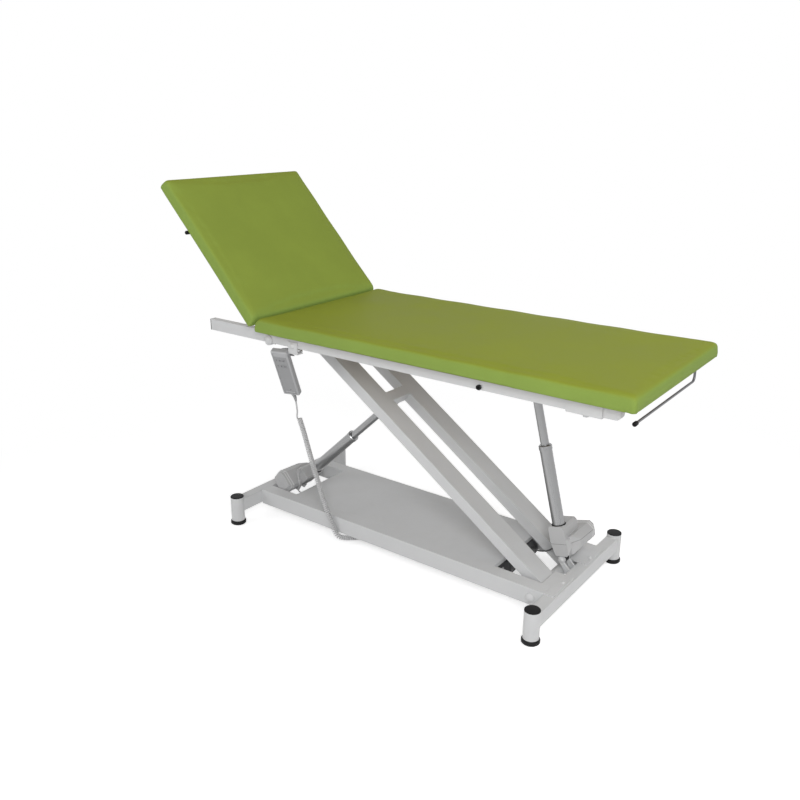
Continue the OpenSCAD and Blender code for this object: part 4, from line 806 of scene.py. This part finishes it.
def pad_form(length, half, cut):
    """A pad's cut shape, before the vinyl is drawn over it: ring i is a rounded rectangle drawn in by the side's form
    at its height, and by the nose's quarter round at the hinge end; above, the rings close over a low crown."""
    rings = []
    for h, inset in PAD_SIDE:
        rise = max(0.0, h - NOSE_FOOT) / (PAD_THICKNESS - NOSE_FOOT)
        head = 0.0025 * (1 - h / NOSE_FOOT) ** 2 if h < NOSE_FOOT else NOSE_REACH * (1 - math.sqrt(1 - rise ** 2))
        x0, x1, w = head + cut, length - inset - cut, half - inset - cut
        o = rounded_outline([(x0, -w), (x1, -w), (x1, w), (x0, w)], PAD_CORNER, 0.0, 6)
        # The vinyl is pulled out square over the corners
        x1, w = length - cut, half - cut
        full = rounded_outline([(x0, -w), (x1, -w), (x1, w), (x0, w)], PAD_CORNER, 0.0, 6)
        away = np.hypot(np.minimum(np.abs(o[:, 0]), np.abs(length - o[:, 0])), half - np.abs(o[:, 1]))
        o = o + (full - o) * 0.8 * np.clip(1 - away / CORNER_REACH, 0, 1)[:, None]
        rings.append(level(o, h - 0.3 * cut * (h > 0.03)))
    rim, top = rings[-1][:, :2], rings[-1][0, 2]
    rings += [level(rim + ((length / 2, 0) - rim) * share, top + lift) for share, lift in PAD_CROWN]
    return skin(rings)


class EXAM_OT_pads(bpy.types.Operator):
    """Makes the seat's and the back section's vinyl pads"""
    bl_idname = "exam.pads"
    bl_label = "Pads"

    def execute(self, context):
        sizes = context.scene.table_sizes
        half = (PAD_HIGH.y - PAD_LOW.y) / 2
        seat = (np.array([PAD_LOW.x, 0, PAD_LOW.z]), np.eye(3))
        self.pad("seat_pad", PAD_HIGH.x - PAD_LOW.x, half, seat, "upper_frame", "seat_cushion", sizes)
        # The back pad is drawn from its hinge end outwards, so x runs the other way
        back = (put((BACK_NEAR_END, 0, PAD_LOW.z), RAISED), RAISED[1] @ turned("z", 180))
        self.pad("back_pad", BACK_LENGTH, half, back, "back_section", "back_cushion", sizes)
        return {"FINISHED"}

    def pad(self, name, length, half, place, body, node_name, sizes):
        """One pad: cut a little small, remeshed, swollen by its own pressure as cloth with its underside held, then
        dressed in its own place and moved to the table."""
        obj = new_object(name, pad_form(length, half, PAD_CUT), "Green vinyl")
        self.swell(obj, sizes)
        self.dress(obj, length, half)
        write_points(obj, put(read_points(obj), place))
        modified(obj, "SUBSURF", levels=1, render_levels=1)
        apply_modifiers(obj)
        obj.data.shade_smooth()
        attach(obj, body)
        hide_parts(node_name)

    def swell(self, obj, sizes):
        """Cloth with its own pressure and no gravity, for CLOTH_FRAMES frames. A point keeps only how far it swelled
        outwards, at most the vinyl's reach, less near the held part, and the rest is smoothed."""
        scene = bpy.context.scene
        modified(obj, "REMESH", mode="VOXEL", voxel_size=sizes.pad_voxel)
        apply_modifiers(obj)
        before = read_points(obj)
        held = obj.vertex_groups.new(name="held")
        held.add(np.nonzero(before[:, 2] < HELD)[0].tolist(), 1.0, "REPLACE")
        cloth = modified(obj, "CLOTH")
        for key, value in CLOTH.items():
            setattr(cloth.settings, key, value)
        cloth.settings.effector_weights.gravity = 0.0
        cloth.collision_settings.use_collision = False
        for step in range(1, CLOTH_FRAMES + 1):
            scene.frame_set(step)
        apply_modifiers(obj)
        scene.frame_set(1)
        normals = read_points(obj, "normal")
        swelled = np.einsum("ij,ij->i", read_points(obj) - before, normals)
        free = np.clip((before[:, 2] - HELD) / 0.012, 0, 1)
        write_points(obj, before + normals * (free * np.clip(swelled, -0.0004, sizes.vinyl_reach))[:, None])
        modified(obj, "SMOOTH", factor=0.5, iterations=10, vertex_group="held", invert_vertex_group=True)
        apply_modifiers(obj)

    def dress(self, obj, length, half):
        """Draws the pad's long sides in by 2 mm between the corners, folds the vinyl in three small creases up each
        outer corner, lays shallow waves along its edges, keeps it inside its solid's box and rests it on its board."""
        x, y, z = read_points(obj).T
        rise = np.clip(z / PAD_THICKNESS, 0, 1)
        # Sides drawn in, most at mid height
        pull = WAIST * np.sin(np.pi * np.clip(x / length, 0, 1)) * np.sin(np.pi * np.clip(rise, 0.1, 1)) ** 0.5
        y = y - np.sign(y) * pull * np.clip((np.abs(y) - half + 0.06) / 0.06, 0, 1)
        # Creases of the folded corners at the foot or head end
        corner = np.hypot(length - FOLD - x, half - FOLD - np.abs(y))
        angle = np.arctan2(np.abs(y) - half + FOLD, x - length + FOLD)
        near = np.clip(1 - np.abs(corner - 0.012) / 0.022, 0, 1) * np.clip(1 - (z - 0.008) / 0.034, 0, 1)
        fold = CREASE * near * np.cos(9 * (angle - np.pi / 4))
        x = x + fold * np.cos(angle)
        y = y + np.sign(y) * fold * np.sin(angle)
        # Long shallow waves of the vinyl near the hinge end and the corners
        wave = WAVE * np.sin(x * 31 + 2.3 * np.sin(y * 9)) * np.exp(-((np.abs(y) - half) / 0.07) ** 2)
        z = z + wave * (z > 0.03)
        x, y, z = np.clip(x, 0, length), np.clip(y, -half, half), np.clip(z, 0, PAD_THICKNESS)
        rim, rest = 0.0078, BOARD_TOP - PAD_LOW.z + 0.0003
        inside = (x > rim) & (x < length - rim) & (np.abs(y) < half - rim)
        write_points(obj, np.stack([x, y, np.where(inside & (z < rest), rest, z)], -1))


def read_points(obj, kind="co"):
    """A mesh's points, or their normals, as an array."""
    p = np.empty(len(obj.data.vertices) * 3, np.float32)
    obj.data.vertices.foreach_get(kind, p)
    return p.reshape(-1, 3).astype(float)


def write_points(obj, points):
    """Puts an array of points into a mesh."""
    obj.data.vertices.foreach_set("co", points.astype(np.float32).ravel())
    obj.data.update()


def modified(obj, kind, **settings):
    """A new modifier of a mesh with its settings."""
    made = obj.modifiers.new(kind.title(), kind)
    for key, value in settings.items():
        setattr(made, key, value)
    return made


def apply_modifiers(obj):
    """Replaces a mesh by what its modifiers make of it."""
    view = bpy.context.evaluated_depsgraph_get()
    made = bpy.data.meshes.new_from_object(obj.evaluated_get(view))
    old = obj.data
    obj.modifiers.clear()
    obj.data = made
    made.name = obj.name
    bpy.data.meshes.remove(old)


# Outlines of the motors' shells, from the lower pin, in metres
PLAN = np.array([(-27, -26), (29, -26), (58, 24), (62, 121), (53, 137), (-12, 137), (-27, 121)]) / 1000
BLOCK = np.array([(-16, 0), (-27, 43), (-27, 95), (-22, 104), (22, 104), (29, 95), (29, 43), (25, 0)]) / 1000
POD = np.array([(-18, 3), (-27, 20), (-27, 50), (-18, 64), (42, 66), (62, 44), (52, 13), (40, 3)]) / 1000
LOWER = np.array([(-20, 6), (-27, 43), (-20, 60), (29, 60), (44, 43), (30, 6)]) / 1000
LIFTED = np.array([0, 0.014])
MOTOR_PARTS = ((BLOCK, -0.03, 0.072), (POD, -0.010, 0.14), (LOWER, -0.0245, 0.03))  # with their near and far ends
SHELL_EDGE = 0.0024
BANDS = ((0.1155, 0.0055), (0.1265, 0.004))  # the pod's pale bands: place across and width
BAND_PROUD, BAND_EDGE = 0.0009, 0.0008
SEAM, SEAM_WIDTH, SEAM_PROUD, SEAM_END = 0.057, 0.0012, 0.00025, 0.118  # the seam's height, and its end across the pod
# The clevis eye's outline and its ends, and the collar ring's section: radius and height
EYE = np.array([(-12, 0), (-9.5, -9.5), (0, -13.5), (9.5, -9.5), (12, 0), (12, 14.5), (-12, 14.5)]) / 1000
EYE_ENDS = ((0.0012, -0.013), (0, -0.012), (0, 0.012), (0.0012, 0.013))
COLLAR = ((0.0208, 0.1165), (0.0235, 0.1165), (0.0241, 0.118), (0.0235, 0.1196), (0.0208, 0.12))
SLOTS, SLOT_PITCH, SLOT_FIRST = 8, 0.0075, (-0.0215, 0.036, 0.0243)


def shell_planes(outline, y0, y1, proud=0.0):
    """The planes round one part of a motor's shell: its outline seen from the side, the plan, and both end faces."""
    return (edge_planes(outline + LIFTED, [0, 2], proud) + edge_planes(PLAN, [0, 1], proud)
            + [((0, -1, 0), (0, y0 - proud, 0)), ((0, 1, 0), (0, y1 + proud, 0))])


def sliced(planes, axis, low, high):
    """The planes of a slice of a convex solid, between two heights along an axis."""
    n = np.eye(3)[axis]
    return planes + [(-n, n * low), (n, n * high)]


class EXAM_OT_motors(bpy.types.Operator):
    """Makes both motors' moulded shells with their bands, seams, ribs and clevis eyes"""
    bl_idname = "exam.motors"
    bl_label = "Motors"

    def execute(self, context):
        for label, place in (("head", HEAD_ACTUATOR), ("foot", FOOT_ACTUATOR)):
            body = label + "_actuator"

            def add(name, parts, finish, slot="grey_plastic", replaces=()):
                """One of this motor's pieces."""
                return new_piece(label + name, moved(joined(parts), place), finish, body, slot, replaces)

            rounded(add("_motor_shell", [faceted(shell_planes(*part)) for part in MOTOR_PARTS], "Grey moulded shell",
                        replaces=[label + "_motor_housing"]), SHELL_EDGE)
            rounded(add("_motor_bands", [
                faceted(sliced(shell_planes(*MOTOR_PARTS[1], BAND_PROUD), 1, y - wide / 2, y + wide / 2))
                for y, wide in BANDS], "Pale moulded band"), BAND_EDGE)
            add("_motor_seam", [
                faceted(sliced(shell_planes(*part, SEAM_PROUD), 2, SEAM - SEAM_WIDTH / 2, SEAM + SEAM_WIDTH / 2))
                for part in (MOTOR_PARTS[0], (POD, -0.010, SEAM_END))], "Seam shadow")
            add("_motor_trim", self.trim(), "Black plastic", "black_plastic")
        return {"FINISHED"}

    def trim(self):
        """The clevis eye on the pin, a collar ring round the tube, and the ribs of the air slots under the pod."""
        eye, ring = moulded(EYE, 0.003, EYE_ENDS), lathe(COLLAR, 48)
        rib = moulded(rectangle(0.0026, 0.011), 0.001, [(0.0004, -0.0006), (0, 0.0002), (0.0008, 0.0006)])
        slots = [moved(rib, (SLOT_FIRST + np.array([0, SLOT_PITCH * k, 0]), turned("y", -118) @ turned("z", 90)))
                 for k in range(SLOTS)]
        return [upright(eye), ring, *slots]


# The handset, about its middle. The case's section: how far it is drawn in and its depth towards the front
CASE_CORNER = 0.0055
CASE_SECTION = ((0.0045, -0.012), (0.0022, -0.0114), (0.0006, -0.0098), (0, -0.0075), (0, 0.0066), (0.0006, 0.0082),
                (0.0034, 0.0112), (0.0042, 0.0117), (0.0054, 0.0118), (0.0061, 0.0114), (0.0064, 0.0104),
                (0.0064, 0.0094))
RIM = -0.0084  # the case's pale front rim begins here, by its own depth
# Sections of a lamp and a key cap in mm, as radius and depth, and their places across and up the case
LAMP = ((1.6, 9.8), (1.6, 10.7), (1.1, 11.2), (0.2, 11.3))
LAMPS_AT = ((-0.0165, 0.062), (-0.0165, 0.036), (0.004, -0.073))
KEY_CAP = ((5.8, 8.5), (5.8, 10.4), (5.3, 11.2), (4, 11.7), (2, 11.9), (0.3, 11.95))
KEYS = (("raise", 0.010, 0.062, 1), ("lower", -0.003, 0.062, -1), ("foot_up", 0.010, 0.036, 1),
        ("foot_down", -0.003, 0.036, -1))  # with the way that their arrows point
ARROW = np.array([(0, 2.6), (-2.4, -1.2), (2.4, -1.2)]) / 1000  # an arrow pointing up, point first
# The clip's middle line, and its width and thickness at points along it
CLIP_LINE = ((0.025, 0.0105, 0.0905), (0.025, 0.016, 0.0906), (0.025, 0.0205, 0.0903), (0.025, 0.0227, 0.088),
             (0.025, 0.0228, 0.083), (0.025, 0.0228, 0.074), (0.025, 0.0229, 0.067), (0.0285, 0.0236, 0.0595))
CLIP_WIDTH = ((0, 26, 30, 35), (0.014, 0.014, 0.015, 0.0185))
CLIP_THICKNESS = ((0, 12, 20, 35), (0.004, 0.0036, 0.0024, 0.0022))


class EXAM_OT_handset(bpy.types.Operator):
    """Makes the handset: shell, panel, keys with arrows, lamps, ledges and clip"""
    bl_idname = "exam.handset"
    bl_label = "Handset"

    def execute(self, context):
        shell = moulded(rectangle(0.064, 0.2), CASE_CORNER, CASE_SECTION, steps=6)
        case = self.add("body", upright(shell), "Handset grey", replaces=["handset_shell"], sharp=32)
        tint(case, "Handset rim", lambda p: ((p - HANDSET[0]) @ HANDSET[1])[:, 1] < RIM)
        panel = moulded(rectangle(0.0508, 0.1868), 0.0016, [(0, 0.0088), (0, 0.0097), (0.0003, 0.01), (0.004, 0.01)])
        self.add("panel", upright(panel), "Handset panel")
        ledge = moulded(rectangle(0.036, 0.0044, 0, -0.0845), 0.0015, [(0, 0.0095), (0, 0.0112), (0.0008, 0.0118)])
        step = moulded(rectangle(0.0495, 0.016, 0, 0.0845), 0.0016, [(0, 0.0095), (0, 0.0103), (0.0008, 0.0108)])
        self.add("ledge", joined([upright(ledge), upright(step)]), "Handset rim")
        lamps = [self.button(LAMP, 20, x, z) for x, z in LAMPS_AT]
        self.add("lamps", joined(lamps), "Key print", slot="black_plastic")
        for name, x, z, way in KEYS:
            dome = self.button(KEY_CAP, 36, x, z)
            mark = moulded(ARROW * (1, way) + (x, z), 0.0003, [(0, 0.0112), (0, 0.01212)], steps=3)
            for piece, part, finish, replaced in (("key_cap_", dome, "Handset keys", ["key_" + name]),
                                                  ("key_mark_", upright(mark), "Key print", ())):
                new_piece(piece + name, moved(part, HANDSET), finish, name + "_key", "black_plastic", replaced)
        self.add("clip", self.clip(), "Handset keys", replaces=["handset_hook"])
        return {"FINISHED"}

    def add(self, name, part, finish, slot="grey_plastic", **others):
        """A piece of the handset's case, drawn about the handset's middle and moved to its place."""
        return new_piece("handset_" + name, moved(part, HANDSET), finish, "upper_frame", slot, **others)

    def button(self, profile, sides, x, z):
        """A turned knob on the handset's face, its profile in mm."""
        return moved(lathe(np.array(profile) / 1000, sides), (np.array([x, 0, z]), turned("x", 90)))

    def clip(self):
        """A flat strip carried along a hooked line: P(i, k) = line(i) + across w(i) a(k) + thick N(i) b(k), where a and
        b go round a rounded rectangle, and w grows at the flared tip."""
        line = smooth_line(CLIP_LINE, 5)
        t = headings(line)
        across = np.array([1.0, 0, 0])
        normal = np.cross(t, across)
        normal /= np.linalg.norm(normal, axis=1)[:, None]
        wide, thick = (np.interp(np.arange(len(line)), *steps) for steps in (CLIP_WIDTH, CLIP_THICKNESS))
        o = rounded_outline(rectangle(1, 1), 0.12, 0.0, 4)
        rings = (line[:, None] + wide[:, None, None] * o[None, :, :1] * across
                 + thick[:, None, None] * o[None, :, 1:] * normal[:, None])
        return skin(rings)


def tint(obj, finish, where):
    """Gives some of an object's faces another finish: where takes the faces' middles and says which."""
    obj.data.materials.append(bpy.data.materials[finish])
    middles = np.empty(len(obj.data.polygons) * 3, np.float32)
    obj.data.polygons.foreach_get("center", middles)
    index = np.zeros(len(obj.data.polygons), np.int32)
    obj.data.polygons.foreach_get("material_index", index)
    index[where(middles.reshape(-1, 3))] = len(obj.data.materials) - 1
    obj.data.polygons.foreach_set("material_index", index)


# Where the black ends of the actuators' cross shaft and of the paper roll's rod begin, across the table
SHAFT_CAPS, ROD_CAP = 0.3002, -0.2238
RAIL_CAP, BAR_CAP = 0.02, 0.0205  # lengths of the black ends of the rails and of the release bar
# The white socket that the rod is set in: its axis in x and y, its foot, the top of its bore and the rod's radius
SOCKET_AXIS, SOCKET_FOOT, BORE_TOP, ROD_RADIUS = (0.87003, 0.24), 0.7815, 0.7975, 0.0042


def rod_socket(p):
    """Which of the points lie on the socket of the paper roll's rod, and not on the rod inside it."""
    near = (p[:, 2] > SOCKET_FOOT) & (np.abs(p[:, 1] - SOCKET_AXIS[1]) < 0.03)
    return near & ((p[:, 2] > BORE_TOP) | (np.hypot(*(p[:, :2] - SOCKET_AXIS).T) > ROD_RADIUS))


class EXAM_OT_finishes(bpy.types.Operator):
    """Gives every remaining part its finish"""
    bl_idname = "exam.finishes"
    bl_label = "Finishes"

    def execute(self, context):
        by_slot = {"white_steel": "Powder coat", "white_plastic": "White plastic", "black_plastic": "Black plastic",
                   "rubber": "Foot rubber", "zinc_steel": "Zinc plated steel", "chrome": "Chrome",
                   "aluminium": "Anodised tube, foot", "grey_plastic": "Grey moulded shell",
                   "black_steel": "Black painted steel", "plywood": "Plywood", "vinyl": "Green vinyl", "cord": "Cord"}
        nodes = frame["nodes"]
        for part in frame["record"]["subparts"]:
            obj = nodes[part["node"]]
            obj.data.materials.clear()
            obj.data.materials.append(bpy.data.materials[by_slot[part["material_slot"]]])
        for name, finish in (("head_outer_tube", "Anodised tube, head"), ("head_rod", "Anodised tube, head"),
                             ("handset_holder", "Powder coat"), ("motor_pins", "White plastic"),
                             ("control_unit", "Drum plastic")):
            nodes[name].data.materials[0] = bpy.data.materials[finish]
        rail_end, bar_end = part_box("rail_ends")[0].x + RAIL_CAP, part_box("release_bar")[1].y - BAR_CAP
        for name, where in (("actuator_cross_shaft", lambda p: np.abs(p[:, 1]) > SHAFT_CAPS),
                            ("paper_roll_rod", lambda p: p[:, 1] < ROD_CAP),
                            ("rail_ends", lambda p: p[:, 0] < rail_end),
                            ("release_bar", lambda p: np.abs(p[:, 1]) > bar_end)):
            tint(nodes[name], "Black plastic", where)
        tint(nodes["paper_roll_rod"], "White plastic", rod_socket)
        return {"FINISHED"}


class EXAM_PT_panel(bpy.types.Panel):
    """The table's pieces and settings, in the 3D view's sidebar."""
    bl_idname = "EXAM_PT_panel"
    bl_label = "Examination table"
    bl_space_type = "VIEW_3D"
    bl_region_type = "UI"
    bl_category = "Examination table"

    def draw(self, context):
        for group in (context.scene.table_colours, context.scene.table_sizes, context.scene.table_stage):
            box = self.layout.box()
            for key in group.__annotations__:
                box.prop(group, key)
        for operator in OPERATORS:
            self.layout.operator(operator.bl_idname)


OPERATORS = (EXAM_OT_stage, EXAM_OT_cords, EXAM_OT_pads, EXAM_OT_motors, EXAM_OT_handset, EXAM_OT_finishes)
CLASSES = (TableColours, TableSizes, TableStage, *OPERATORS, EXAM_PT_panel)


def register():
    """Registers the classes and hangs the settings on the scene."""
    for item in CLASSES:
        bpy.utils.register_class(item)
    bpy.types.Scene.table_colours = bpy.props.PointerProperty(type=TableColours)
    bpy.types.Scene.table_sizes = bpy.props.PointerProperty(type=TableSizes)
    bpy.types.Scene.table_stage = bpy.props.PointerProperty(type=TableStage)


def unregister():
    """Takes the settings and the classes away again."""
    del bpy.types.Scene.table_colours, bpy.types.Scene.table_sizes, bpy.types.Scene.table_stage
    for item in reversed(CLASSES):
        bpy.utils.unregister_class(item)


def main():
    register()
    make_finishes(bpy.context.scene.table_colours)
    for operator in OPERATORS:
        getattr(bpy.ops.exam, operator.bl_idname.split(".")[1])()


if __name__ == "__main__":
    main()
